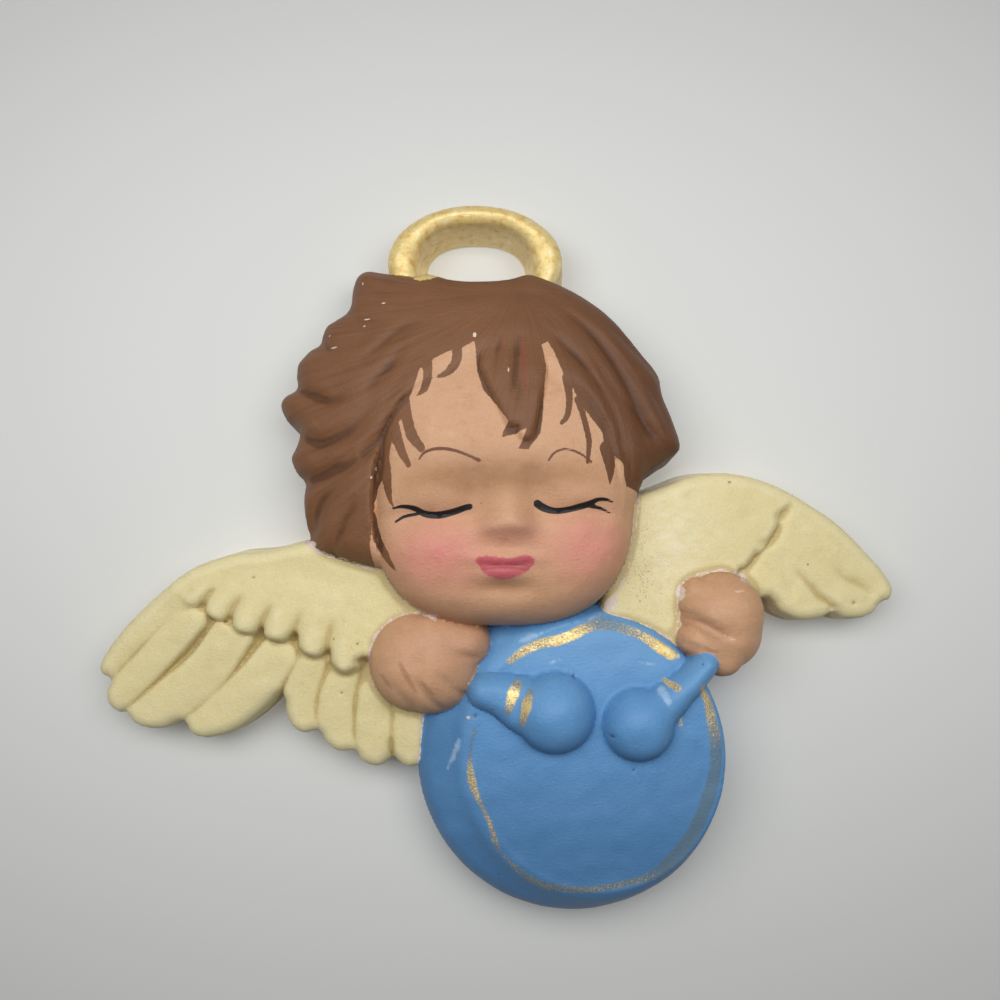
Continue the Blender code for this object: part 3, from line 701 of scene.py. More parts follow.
@dataclass
class Hands:
    """The two fists with the creases between their fingers."""

    masses: Strokes = (
        strips((-14.6, -20.6, 9.8, 18.4, -12.8, -21, 9.6, 18.8), crown=1, edge=8)
        + strips((-12, -17.6, 6.4, 18, -6.2, -17.4, 4.8, 17.2), crown=0.8, edge=5)
        + strips((40.4, -12.2, 8, 18.8, 40.9, -15.4, 7.2, 18.2), crown=1, edge=7)
        + strips((34.8, -16.6, 3.2, 16.6, 40, -19.4, 4.2, 16.8), crown=0.8, edge=3.4)
        + strips((35.8, -8.4, 3.2, 15.6, 35.2, -10.4, 3, 15.8), crown=0.5, edge=3)
    )
    creases: Grooves = furrows(
        (0.8, 0.6, -15.2, -29.6, -16.9, -26.8, -19.6, -23.4),
        (0.8, 0.7, -10.4, -28.8, -12.6, -26.2, -15.8, -21.8),
        (0.8, 0.7, -6.2, -26.6, -8.6, -24.4, -11.2, -21), (0.8, 0.5, -4.4, -19.6, -7.4, -19, -10.6, -17.2),
        (0.8, 0.9, 31.6, -11.6, 34.9, -12.7, 38.3, -14.6, 42.6, -17),
        (0.6, 0.4, 31, -16.2, 33.4, -17.2, 37.6, -18.8),
    )

    def height(self, x: Array, z: Array) -> Array:
        """Height of both fists."""
        return union_of(x, z, self.masses, 1.4) - deepest(x, z, self.creases)


@dataclass
class Drum:
    """The drum seen from its head, and the two ball-ended beaters that lie on it."""

    shell_centre: Point = (12.9, -38.1)
    shell_half: Point = (28.7, 28.5)
    shell_top: float = 9.5
    shell_edge: float = 3.0
    skin_centre: Point = (17.4, -36.6)
    skin_half: Point = (22.6, 23.6)
    skin_top: float = 14.6
    skin_crown: float = 1.2
    hoop_rise: float = 0.55
    hoop_half: float = 1.5
    balls: tuple[tuple[Point, float], ...] = (((9.7, -29.1), 7.0), ((24.3, -31.1), 6.3))
    ball_lift: float = 15.0
    fillet: float = 2.2
    sticks: Strokes = (
        strips((-2.8, -25.6, 3.4, 17.6, 0.6, -26.2, 4.1, 18.3, 5, -28, 5.4, 19.2), crown=1.4, edge=2.6)
        + strips((36.4, -20.8, 2.7, 18.4, 32, -25.2, 3.1, 18.6, 26, -30, 4.6, 19), crown=1, edge=2.8)
    )

    def shell(self, x: Array, z: Array) -> Array:
        """Height of the flared shell and of the head's shallow crown."""
        inside, _ = inside_ellipse(x, z, self.shell_centre, self.shell_half)
        on_skin, share = inside_ellipse(x, z, self.skin_centre, self.skin_half)
        climb = np.clip(inside / np.maximum(inside - on_skin, 0.5), 0.0, 1.0)
        climb = np.where(on_skin > 0, 1.0, climb)
        crest = self.shell_top + (self.skin_top - self.shell_top) * climb
        crest = crest + self.skin_crown * np.clip(1.0 - share * share, 0.0, 1.0)
        crest = crest + self.hoop_rise * np.exp(-(((on_skin + 1.6) / self.hoop_half) ** 2))
        return EDGE.wall(crest, inside, self.shell_edge)

    def beaters(self, x: Array, z: Array) -> Array:
        """Height of the beaters' sticks and balls."""
        total = union_of(x, z, self.sticks)
        for (ball_x, ball_z), radius in self.balls:
            away = np.hypot(x - ball_x, z - ball_z)
            ball = self.ball_lift + np.sqrt(np.maximum(radius**2 - away**2, 0.0))
            total = smooth_max(total, ball - EDGE.step_slope * np.maximum(away - radius, 0.0), self.fillet)
        return total

    def height(self, x: Array, z: Array) -> Array:
        """Height of the drum with its beaters."""
        return smooth_max(self.shell(x, z), self.beaters(x, z), self.fillet)


class Coat(Enum):
    """The coats of paint, in the order in which they were brushed on."""

    WING = "wing_cream"
    SKIN = "skin"
    HAIR = "hair_brown"
    DRUM = "drum_blue"
    HALO = "halo_gold"


@dataclass
class Brushwork:
    """Where the painter's brush went: the coats' edges, the drawn lines and the soft washes, with some
    painted highlights and shade among them.
    """

    LINES: ClassVar = (
        "lash", "brow", "bare_line", "gold_dab", "pale_streak_and_highlight", "reddish", "skin_shadow", "skin_glint",
    )
    WASHES: ClassVar = ("blush", "nose_shade", "lid_shade", "bare", "grime", "pits", "wing_pale")

    face_opening: Points = (
        (-22.3, -3.2), (-22.7, 0.3), (-22.3, 3.4), (-21.9, 7.5), (-21.2, 10.3), (-20.1, 12.1),
        (-19.3, 13.9), (-19.1, 15.7), (-18.6, 18.8), (-17.6, 21.1), (-16.9, 22.8), (-15.7, 25.8),
        (-14.7, 28.1), (-13.9, 30.7), (-12.6, 31.9), (-10.6, 33.1), (-8.2, 34.3), (-6.9, 34.1), (-5.8, 35),
        (-4.6, 35.7), (-2.3, 36.6), (1.1, 37.3), (4.5, 36.6), (6.7, 34.9), (8.3, 35.8), (9.2, 34.2),
        (11, 29.7), (12.5, 27.7), (13.7, 24.6), (15.5, 22.4), (17.6, 19.7), (17.9, 17.6), (19.9, 15.6),
        (21.4, 14.3), (21.9, 10.6), (23.6, 10), (27, 8), (27, -6), (20, -18), (0, -24), (-16, -18),
        (-23, -8),
    )
    fringe: Points = (
        (-4.6, 38.8), (-4, 30.6), (-3, 27), (-0.6, 24.1), (1.4, 21.3), (0.9, 20.3), (0.2, 18.5),
        (2.7, 19.1), (4.5, 20), (4, 18.5), (3.1, 16.6), (4.7, 16.4), (6.9, 19.3), (7.3, 22.8), (7.6, 27.5),
        (8, 31.1), (6.7, 38),
    )
    loose_strands: Strokes = marks(
        (-7.5, 36.1, 0.88, -7.5, 32.6, 0.85, -8.5, 30.7, 0.76, -9.9, 29.7, 0.51, -11.3, 29.4, 0.1),
        (-12.8, 33.1, 1.05, -12.5, 29.8, 0.77, -13.1, 27.3, 0.68, -14.3, 26.1, 0.14),
        (-17.3, 27, 1.36, -16, 22.1, 0.93, -15.1, 19.2, 1.01, -13.4, 16.8, 0.7),
        (-18.4, 21, 1.02, -17.1, 16.9, 0.85, -15.6, 14, 0.47),
        (-20.6, 17.5, 1.2, -19.6, 12.2, 1.02, -19, 8.8, 0.51, -18.2, 6.9, 0.14),
        (-22, 5.8, 0.24, -21.4, 1.7, 0.76, -19.8, -1.4, 0.76, -18, -4, 0.21),
        (11.5, 29.2, 0.78, 11.9, 25.4, 0.61, 11.5, 22.5, 0.5, 10.5, 21.1, 0.37),
        (13.3, 25.4, 0.51, 14.6, 21.3, 0.54, 15.2, 17.8, 0.5, 14.9, 14.4, 0.3),
        (18.4, 16.9, 1.36, 18.9, 13.5, 0.85, 18.7, 10.6, 0.1),
        (22.1, 15, 0.85, 22.1, 12.3, 0.62, 22.1, 10.6, 0.17),
    )
    lash: Strokes = marks(
        (-18.4, 6.6, 0.16, -16.6, 6.9, 0.3, -14.4, 6.5, 0.44, -12.7, 5.6, 0.57, -10.3, 5.4, 0.62,
         -7.9, 5.9, 0.56, -5.9, 6.6, 0.5, -5.1, 6.8, 0.52),
        (-17.9, 4.3, 0.22, -16.3, 5.2, 0.27, -14.1, 5.6, 0.27),
        (6.3, 7.3, 0.68, 7.4, 6.6, 0.66, 9.2, 6.1, 0.53, 11.4, 6.3, 0.5, 13.4, 6.8, 0.53, 15.1, 7.3, 0.54,
         16.5, 8, 0.33, 17.9, 8.1, 0.3, 19.3, 7.7, 0.17),
        (15.3, 6.9, 0.3, 17.1, 6.6, 0.28, 18.9, 5.8, 0.16),
    )
    brow: Strokes = marks(
        (-13.8, 14.9, 0.17, -12.7, 16.2, 0.25, -10.3, 16.7, 0.3, -7.6, 16.3, 0.28, -5, 15.3, 0.25,
         -3.5, 14.6, 0.33),
        (8.2, 14.6, 0.2, 9.3, 16, 0.2, 11.1, 16.6, 0.2, 13.2, 16.1, 0.23, 14.7, 15.2, 0.23,
         15.5, 14.5, 0.27),
    )
    lips: Points = (
        (-4.3, -2.2), (-2.9, -1.4), (-0.6, -1.5), (0.9, -1.8), (3, -1.5), (5, -1.4), (5.8, -2.2),
        (5.1, -3.7), (3.2, -4.8), (0.9, -5.5), (-1.4, -5.1), (-3.3, -3.8),
    )
    gold_dab: Strokes = marks((-14.4, 53.4, 3.1, -14, 51.4, 2.9))
    gold_line: Strokes = strips(
        (1.6, -20.4, 0.5, 0.6, 3.9, -18.7, 0.8, 0.7, 6.8, -17.3, 0.9, 0.7, 10.2, -16.6, 1, 0.8,
         13, -15.6, 1, 0.9, 15.2, -14.5, 0.95, 0.65, 17.4, -13.8, 1, 0.45, 20.2, -14, 0.9, 0.4,
         23.1, -14.9, 0.85, 0.5, 25.9, -16.1, 0.85, 0.65, 28.3, -17.8, 1.05, 0.85, 30.6, -19.2, 0.95, 0.9),
        (-4.6, -32.3, 0.4, 0.35, -5.2, -35.4, 0.25, 0.3, -5.3, -38.7, 0.55, 0.6, -5, -41, 0.8, 0.66,
         -4.1, -43.7, 0.55, 0.6, -2.9, -46, 0.4, 0.5, -1.8, -48.5, 0.5, 0.55, -0.8, -51.7, 0.55, 0.5,
         0.1, -53.6, 0.3, 0.4, 2.5, -55.9, 0.5, 0.42, 4.8, -57.8, 0.7, 0.4, 7.7, -59.1, 0.8, 0.4,
         10.9, -59.6, 0.75, 0.4, 14.2, -59.8, 0.7, 0.4, 17.9, -59.4, 0.6, 0.42, 21.7, -58.7, 0.6, 0.42,
         25, -57.9, 0.7, 0.4, 27.8, -56.8, 1, 0.3),
        (27.8, -56.8, 1, 0.3, 30.6, -54.2, 1.25, 0.15, 33, -51.5, 1.3, 0.1, 34.9, -48.3, 1.3, 0.1,
         36.4, -44.6, 1.25, 0.1, 37.6, -40.9, 1.15, 0.12, 38.2, -37.2, 1.15, 0.25, 38, -33.5, 1.1, 0.45,
         37.4, -29.8, 0.95, 0.62, 36.7, -27, 0.75, 0.66, 35.3, -24.3, 0.5, 0.6),
        (3, -23.9, 0.9, 0.5, 2.2, -25.4, 1.05, 0.95, 1.3, -28.5, 0.6, 0.45),
        (5.2, -25, 0.65, 0.45, 4.5, -27.2, 0.85, 0.9, 3.7, -30.5, 0.5, 0.45),
        (29.2, -23.6, 0.5, 0.8, 30.8, -24.4, 0.7, 0.6), (31.9, -30.2, 0.3, 0.8, 31.9, -31.4, 0.3, 0.7),
    )
    blush: Bumps = bumps(
        (-10.4, -1, 5.2, 4, 1), (14.9, 0.2, 4.6, 4, 0.9), (2, 0.4, 5, 2.6, 0.25),
    )
    nose_shade: Bumps = bumps(
        (2, -16.5, 12, 3.6, 0.4), (-0.6, 2.6, 1.8, 0.7, 0.6), (3.2, 2.9, 1.9, 0.7, 0.7),
        (4.6, 4.6, 1.6, 1.4, 0.25),
    )
    lid_shade: Bumps = bumps(
        (-9.6, 11.6, 5.6, 2.3, 0.75), (-4.6, 10.6, 2.8, 2.6, 0.4), (11.6, 12.4, 5.2, 1.9, 0.6),
        (5.6, 11.2, 2.6, 2.6, 0.45), (0.6, 12.6, 6, 2.6, 0.75), (0.4, -7.3, 4.6, 1.2, 0.6),
    )
    bare: Bumps = bumps(
        (32.7, -8.3, 0.55, 1.1, 1), (44.6, -5.6, 1, 0.7, 1), (20.4, -10, 0.9, 0.7, 1),
        (25.7, 10.2, 0.6, 0.8, 1), (-34.6, 0.5, 1, 0.5, 1.1), (-12.4, -12, 1.6, 0.4, 0.8),
        (31.8, -19.4, 0.3, 0.4, 1), (-5.6, -30.2, 0.5, 0.3, 0.8), (-22.9, 44.6, 0.5, 0.12, 0.8),
        (-21.1, 44.1, 0.4, 0.12, 0.8), (-24, 41.3, 0.6, 0.14, 1), (-24.5, 39.8, 0.3, 0.16, 0.9),
        (-30.3, 36.1, 0.8, 0.2, 0.8), (-28.6, 35.3, 0.5, 0.14, 0.75), (-31.3, 38.7, 0.2, 0.2, 0.9),
        (1.4, 30.2, 0.2, 0.5, 0.9), (-21.7, 13.5, 0.2, 0.6, 0.8), (-22.4, 12, 0.2, 0.3, 0.9),
        (-25.6, 49, 0.2, 0.4, 0.8), (-4.4, 36.9, 0.3, 0.5, 0.8), (21.5, 17, 0.16, 0.3, 0.8),
    )
    bare_line: Strokes = marks(
        (-36.1, 1.1, 0.5, -33.8, -0.4, 0.6, -30.7, -1.5, 0.25, -27.5, -2.4, 0.3, -24.5, -3.5, 0.4,
         -21.7, -4.4, 0.2),
        (-21, -4.5, 0.1, -19.2, -6.9, 0.2, -16.8, -9.3, 0.3, -13.7, -11.6, 0.5, -11.3, -12.7, 0.4),
        (26, 11.2, 0.6, 25.6, 8.6, 0.35, 25, 5, 0.15, 24.3, 0.4, 0.1, 23.1, -4.2, 0.15, 21.6, -7.8, 0.35,
         19.6, -10.9, 0.7), (-22.4, -16.3, 0.1, -23.6, -18.8, 0.3, -23.9, -22.1, 0.35, -23.2, -25.7, 0.15),
        (-14.6, -31.1, 0.2, -15.1, -34.6, 0.15, -15.3, -38.6, 0.2),
        (33.2, -7.6, 0.35, 32.2, -10.5, 0.2, 32.4, -13.6, 0.3),
        (36, -5, 0.3, 38.8, -4.3, 0.15, 41.5, -4.1, 0.3),
        (43.5, -4.9, 0.6, 46, -7.2, 0.4, 47.4, -9.8, 0.15),
        (19.5, -11.2, 0.4, 22.4, -11.8, 0.12, 26.8, -13.8, 0.1, 31.2, -16.8, 0.2),
    )
    grime: Bumps = bumps(
        (26.2, 0, 2.2, 9, 1), (27, -7, 4, 4, 0.7), (-26.4, -18.4, 1.2, 1.6, 1),
        (-19.8, -38.6, 0.5, 1.8, 2.4),
    )
    pits: Bumps = bumps(
        (-51, -13.8, 0.3, 0.22), (66, -10.4, 0.3, 0.26), (42.6, 12, 0.34, 0.22), (-45.5, -5.6, 0.22, 0.2),
        (-25.8, -17.6, 0.2, 0.24), (-29.2, -26.9, 0.22, 0.2), (13, -22.7, 0.3, 0.24),
        (19.3, -32.5, 0.34, 0.3), (23.4, -39, 0.22, 0.24), (35.3, -20.4, 0.2, 0.2),
        (-4.4, -29.9, 0.3, 0.26),
    )
    wing_pale: Bumps = bumps((30.8, 1.3, 5, 9, 0.9))
    reddish: Strokes = marks(
        (3.5, 39, 0.3, 3.9, 34.5, 0.8, 4, 29.2, 0.8, 4.6, 25.7, 0.3),
        (0.6, 37.6, 0.15, 0.4, 34.5, 0.3, 0.2, 31.6, 0.15),
    )
    skin_shadow: Strokes = marks(
        (-17.4, -20.1, 0.3, -16.1, -22.5, 0.5, -14.6, -25.1, 0.2),
        (-20.8, -22.5, 0.2, -19.9, -23.5, 0.35, -19, -24.7, 0.15),
        (-13.5, -23.2, 0.2, -12.6, -24.4, 0.35, -11.5, -25.6, 0.15),
        (33.3, -12.5, 0.3, 35.4, -13, 0.35, 37.6, -14.1, 0.3, 39.7, -15.4, 0.15),
        (36.1, -17.6, 0.15, 37.1, -18.2, 0.25, 38.2, -18.3, 0.15),
    )
    skin_glint: Strokes = marks(
        (39.2, -15.3, 0.15, 40.4, -16, 0.28, 41.4, -16.3, 0.15),
        (40.9, -7.6, 0.1, 41.9, -7.8, 0.3, 43.2, -7.6, 0.2),
        (36.1, -18.5, 0.25, 36.9, -18.9, 0.3, 37.6, -18.9, 0.15),
    )
    # Pale streaks on the blue; those along the drum's rounded rim are painted highlights.
    pale_streak_and_highlight: Strokes = marks(
        (-7.3, -34.4, 0.5, -8.2, -36.8, 0.6, -9.4, -39.6, 0.25),
        (3.6, -16.9, 0.35, 5.6, -16, 0.6, 7.8, -15.2, 0.2),
        (15.8, -13, 0.35, 17.6, -12.2, 0.5, 19.6, -11.8, 0.25),
        (22.4, -10.6, 0.25, 25.6, -11.8, 0.4, 28, -13.6, 0.2), (28.2, -25, 0.9, 29, -26.6, 0.7),
        (8.8, -20.6, 0.3, 11, -19.8, 0.25), (24.6, -20.4, 0.3, 27.4, -20.8, 0.3),
    )


@dataclass
class Casting:
    """The whole casting: its mesh, where its paints lie, and the piece that is shown."""

    step: float = 0.36
    low: Point = (-77.0, -68.6)
    high: Point = (76.0, 68.2)
    rim: float = 0.35
    rim_inset: float = 0.25
    pit_depth: float = 0.35
    lead_limit: float = 30.0
    gentlest_slope: float = 0.6
    deepest_rim: float = 3.0
    field_range: tuple[float, float] = (-4.0, 90.0)
    sharp_angle: float = 40.0
    turned_back: float = 0.2
    map_rise: float = 0.05
    back_corner: Point = (0.015, 0.74)
    back_scale: float = 0.21
    face: Face = field(default_factory=Face)
    halo: Halo = field(default_factory=Halo)
    wings: Wings = field(default_factory=Wings)
    hands: Hands = field(default_factory=Hands)
    drum: Drum = field(default_factory=Drum)
    brushwork: Brushwork = field(default_factory=Brushwork)

    def __post_init__(self) -> None:
        """Lays the points of the grid and works out every field on it."""
        self.hair = Hair(self.face)
        self.counts = tuple(round((h - l) / self.step) for l, h in zip(self.low, self.high))
        across = np.linspace(self.low[0], self.high[0], self.counts[0] + 1)
        along = np.linspace(self.low[1], self.high[1], self.counts[1] + 1)
        grid_x, grid_z = np.meshgrid(across, along)
        self.x, self.z = grid_x.ravel(), grid_z.ravel()
        self.forms = self.measure_forms()
        self.relief = self.join_forms()
        self.fields = self.measure_paint()

    def rows(self, values: Array) -> Array:
        """A field laid out as rows of the grid."""
        return values.reshape(self.counts[1] + 1, self.counts[0] + 1)

    def measure_forms(self) -> dict[str, Array]:
        """Height of each form over the grid."""
        names = ("halo", "hair", "face", "hands", "wings", "drum")
        return {name: getattr(self, name).height(self.x, self.z) for name in names}

    def join_forms(self) -> Array:
        """Height of the whole relief over the grid."""
        total = np.full(self.x.shape, BELOW_BACK)
        for height in self.forms.values():
            total = smooth_max(total, height)
        hair = self.forms["hair"]
        on_hair = ease(-0.2, 1.0, hair - self.forms["face"]) * ease(2.0, 6.0, hair)
        total = total + on_hair * self.hair.strands(self.x, self.z) - unevenness(self.x, self.z)
        for pit in self.brushwork.pits:
            total = total - self.pit_depth * pit.rise(self.x, self.z)
        return np.maximum(total, BELOW_BACK)

    def lead(self, *names: str) -> Array:
        """How far inside these forms' own ground each point lies.

        Args:
            *names: The forms that share the ground.

        Returns:
            The distances in millimetres.
        """
        mine = np.max([self.forms[name] for name in names], axis=0)
        others = np.max([self.forms[name] for name in self.forms if name not in names], axis=0)
        ahead = np.clip(mine - others, -self.lead_limit, self.lead_limit)
        rise, run = np.gradient(self.rows(ahead), self.step)
        return ahead / np.maximum(np.hypot(rise, run).ravel(), self.gentlest_slope)

    def gold_leaf(self) -> tuple[Array, Array]:
        """How far inside the nearest gold line each point lies, and how thick its gold is.

        Returns:
            The distance, and the thickness from 0 to 1.
        """
        gold, thickness = np.full(self.x.shape, FAR_OUT), np.zeros(self.x.shape)
        for line in self.brushwork.gold_line:
            inside, _, place = line.trace(self.x, self.z)
            nearer = inside > gold
            here = np.interp(place, np.arange(len(line.line)), line.heights)
            gold, thickness = np.where(nearer, inside, gold), np.where(nearer, here, thickness)
        return gold, thickness

    def measure_paint(self) -> dict[str, Array]:
        """Every field that the finish reads, over the grid.

        Returns:
            The fields by name.
        """
        x, z, brush = self.x, self.z, self.brushwork
        opening = inside_outline(x, z, brush.face_opening, smooth=False)
        fringe = inside_outline(x, z, brush.fringe, smooth=False)
        strands = np.maximum(widest(x, z, brush.loose_strands), fringe)
        angle, away = self.hair.combed(x, z)
        gold, thickness = self.gold_leaf()
        fields = {
            Coat.WING.value: self.lead("wings"),
            Coat.SKIN.value: self.lead("face", "hair", "hands"),
            Coat.HAIR.value: np.minimum(self.lead("face", "hair"), np.maximum(strands, -opening)),
            Coat.DRUM.value: self.lead("drum"),
            Coat.HALO.value: self.lead("halo"),
            "lips": inside_outline(x, z, brush.lips),
            "upper_lip": z + 3.3 + 0.03 * (x - 0.7) ** 2,
            "gold_line": gold,
            "gold_thickness": thickness,
            "underside": self.undersides(),
            "hollow": self.hollows(),
            # Painted shade on the drum's lower and left part, and painted light on its upper part.
            "drum_low_shade": np.maximum(ease(-26.0, -62.0, z), 0.9 * ease(0.0, -14.0, x)),
            "drum_top_light": ease(-31.0, -17.0, z),
            # Painted shade on the hair's right and lower side.
            "right_side_shade": ease(-14.0, 20.0, x - 0.25 * z),
            "comb": angle,
            "comb_reach": away,
        }
        for name in brush.LINES:
            fields[name] = widest(x, z, getattr(brush, name))
        for name in brush.WASHES:
            fields[name] = np.sum([wash.rise(x, z) for wash in getattr(brush, name)], axis=0)
        return {name: np.clip(values, *self.field_range) for name, values in fields.items()}

    def undersides(self) -> Array:
        """How far each point turns down, from 0 to 1, where the finish paints shade with some dirt."""
        rise, _ = np.gradient(self.rows(np.maximum(self.relief, 0.0)), self.step)
        return ease(0.35, 2.2, rise).ravel()

    def hollows(self) -> Array:
        """How far each point lies below its surroundings: the finish darkens it there as painted shade,
        with paint pooling and dirt staying there as well.
        """
        rows = self.rows(np.maximum(self.relief, 0.0))
        blurred = rows
        for reach in (1, 2, 3):
            for axis in (0, 1):
                blurred = (np.roll(blurred, reach, axis) + np.roll(blurred, -reach, axis) + blurred) / 3
        return (blurred - rows).ravel()

    def sample(self, values: Array, x: Array, z: Array) -> Array:
        """Reads a field of the grid between its points.

        Args:
            values: The field over the grid.
            x: X of the places to read.
            z: Z of the places to read.

        Returns:
            The field's values there.
        """
        rows = self.rows(values)
        u = (x - self.low[0]) / (self.high[0] - self.low[0]) * self.counts[0]
        v = (z - self.low[1]) / (self.high[1] - self.low[1]) * self.counts[1]
        u, v = np.clip(u, 0, self.counts[0] - 1e-6), np.clip(v, 0, self.counts[1] - 1e-6)
        i, j = u.astype(int), v.astype(int)
        s, t = u - i, v - j
        low = rows[j, i] * (1 - s) + rows[j, i + 1] * s
        high = rows[j + 1, i] * (1 - s) + rows[j + 1, i + 1] * s
        return low * (1 - t) + high * t

    def raise_front(self) -> bmesh.types.BMesh:
        """The painted front, raised from a flat grid and cut off just before the back."""
        front = bmesh.new()
        bmesh.ops.create_grid(front, x_segments=self.counts[0], y_segments=self.counts[1], size=0.5)
        flat = np.array([vertex.co for vertex in front.verts])
        x = self.low[0] + (flat[:, 0] + 0.5) * (self.high[0] - self.low[0])
        z = self.low[1] + (flat[:, 1] + 0.5) * (self.high[1] - self.low[1])
        height = self.sample(self.relief, x, z)
        for vertex, place in zip(front.verts, np.stack([x, -height, z], axis=1) * MM):
            vertex.co = place
        everything = front.verts[:] + front.edges[:] + front.faces[:]
        cut = {"plane_co": (0, -self.rim * MM, 0), "plane_no": (0, 1, 0), "dist": 1e-7}
        bmesh.ops.bisect_plane(front, geom=everything, clear_outer=True, **cut)
        return front

    def close_back(self, shape: bmesh.types.BMesh) -> None:
        """Turns the open edge in to the plane of the back and fills it, leaving the halo's hole.

        Args:
            shape: The raised front, which is closed in place.
        """
        rise, run = np.gradient(np.maximum(self.rows(self.relief), -self.deepest_rim), self.step)
        rim = [edge for edge in shape.edges if edge.is_boundary]
        turned = bmesh.ops.extrude_edge_only(shape, edges=rim)["geom"]
        corners = [part for part in turned if isinstance(part, bmesh.types.BMVert)]
        x = np.array([corner.co.x for corner in corners]) / MM
        z = np.array([corner.co.z for corner in corners]) / MM
        run_here, rise_here = self.sample(run.ravel(), x, z), self.sample(rise.ravel(), x, z)
        length = np.maximum(np.hypot(run_here, rise_here), 1e-3)
        for corner, run_in, rise_in in zip(corners, run_here / length, rise_here / length):
            corner.co += Vector((run_in, 0.0, rise_in)) * self.rim_inset * MM
            corner.co.y = 0.0
        edges = [part for part in turned if isinstance(part, bmesh.types.BMEdge)]
        bmesh.ops.triangle_fill(shape, edges=edges, use_beauty=True, use_dissolve=False, normal=(0, 1, 0))
        bmesh.ops.recalc_face_normals(shape, faces=shape.faces[:])

    def lay_out(self, mesh: bpy.types.Mesh, places: Array) -> None:
        """Gives the piece its own texture map: the front seen straight on, the back small beside the head.

        Args:
            mesh: The finished mesh.
            places: Its vertices in millimetres.
        """
        corners = np.empty(len(mesh.loops), np.int32)
        mesh.loops.foreach_get("vertex_index", corners)
        on_back = np.zeros(len(mesh.loops), bool)
        for polygon in mesh.polygons:
            if polygon.normal.y > self.turned_back:
                on_back[polygon.loop_start : polygon.loop_start + polygon.loop_total] = True
        wide = self.high[0] - self.low[0]
        u = (places[corners, 0] - self.low[0]) / wide
        v = (places[corners, 2] - self.low[1]) / wide
        u, v = (
            np.where(on_back, self.back_corner[0] + (1 - u) * self.back_scale, u),
            np.where(on_back, self.back_corner[1] + v * self.back_scale, v + self.map_rise),
        )
        layer = mesh.uv_layers.new(name="OFBake")
        layer.data.foreach_set("uv", np.stack([u, v], axis=1).ravel())

    def build(self) -> bpy.types.Object:
        """Makes the piece with its map and its paint fields.

        Returns:
            The piece.
        """
        shape = self.raise_front()
        self.close_back(shape)
        mesh = bpy.data.meshes.new("painted_casting")
        shape.to_mesh(mesh)
        shape.free()
        places = np.empty(len(mesh.vertices) * 3)
        mesh.vertices.foreach_get("co", places)
        places = places.reshape(-1, 3) / MM
        self.lay_out(mesh, places)
        x, z = places[:, 0], places[:, 2]
        fields = {name: self.sample(values, x, z) for name, values in self.fields.items()}
        fields["behind"] = ease(-self.rim, -0.05, places[:, 1])
        for name, values in fields.items():
            mesh.attributes.new(name, "FLOAT", "POINT").data.foreach_set("value", values)
        mesh.shade_smooth()
        mesh.set_sharp_from_angle(angle=math.radians(self.sharp_angle))
        return in_scene("painted_casting", mesh)


# Finishes


def tint(red: float, green: float, blue: float) -> Colour:
    """A colour as a screen shows it, from 0 to 255, turned into light."""
    shares = (value / 255 for value in (red, green, blue))
    return tuple(s / 12.92 if s <= 0.04045 else ((s + 0.055) / 1.055) ** 2.4 for s in shares)


@dataclass(frozen=True)
class Wire:
    """What a node gives out; sums and products of it are nodes too."""

    bench: "NodeBench"
    socket: bpy.types.NodeSocket

    def __add__(self, other: Feed) -> "Wire":
        """The sum of both."""
        return self.bench.math("ADD", self, other)

    def __sub__(self, other: Feed) -> "Wire":
        """This less the other."""
        return self.bench.math("SUBTRACT", self, other)

    def __rsub__(self, other: float) -> "Wire":
        """A number less this."""
        return self.bench.math("SUBTRACT", other, self)

    def __mul__(self, other: Feed) -> "Wire":
        """The product of both."""
        return self.bench.math("MULTIPLY", self, other)

    def ramp(self, low: float, high: float, start: float = 0.0, end: float = 1.0) -> "Wire":
        """A soft step from start to end as this goes from low to high."""
        feeds = dict(enumerate((self, low, high, start, end)))
        return self.bench.node("MapRange", "Result", feeds, interpolation_type="SMOOTHSTEP")


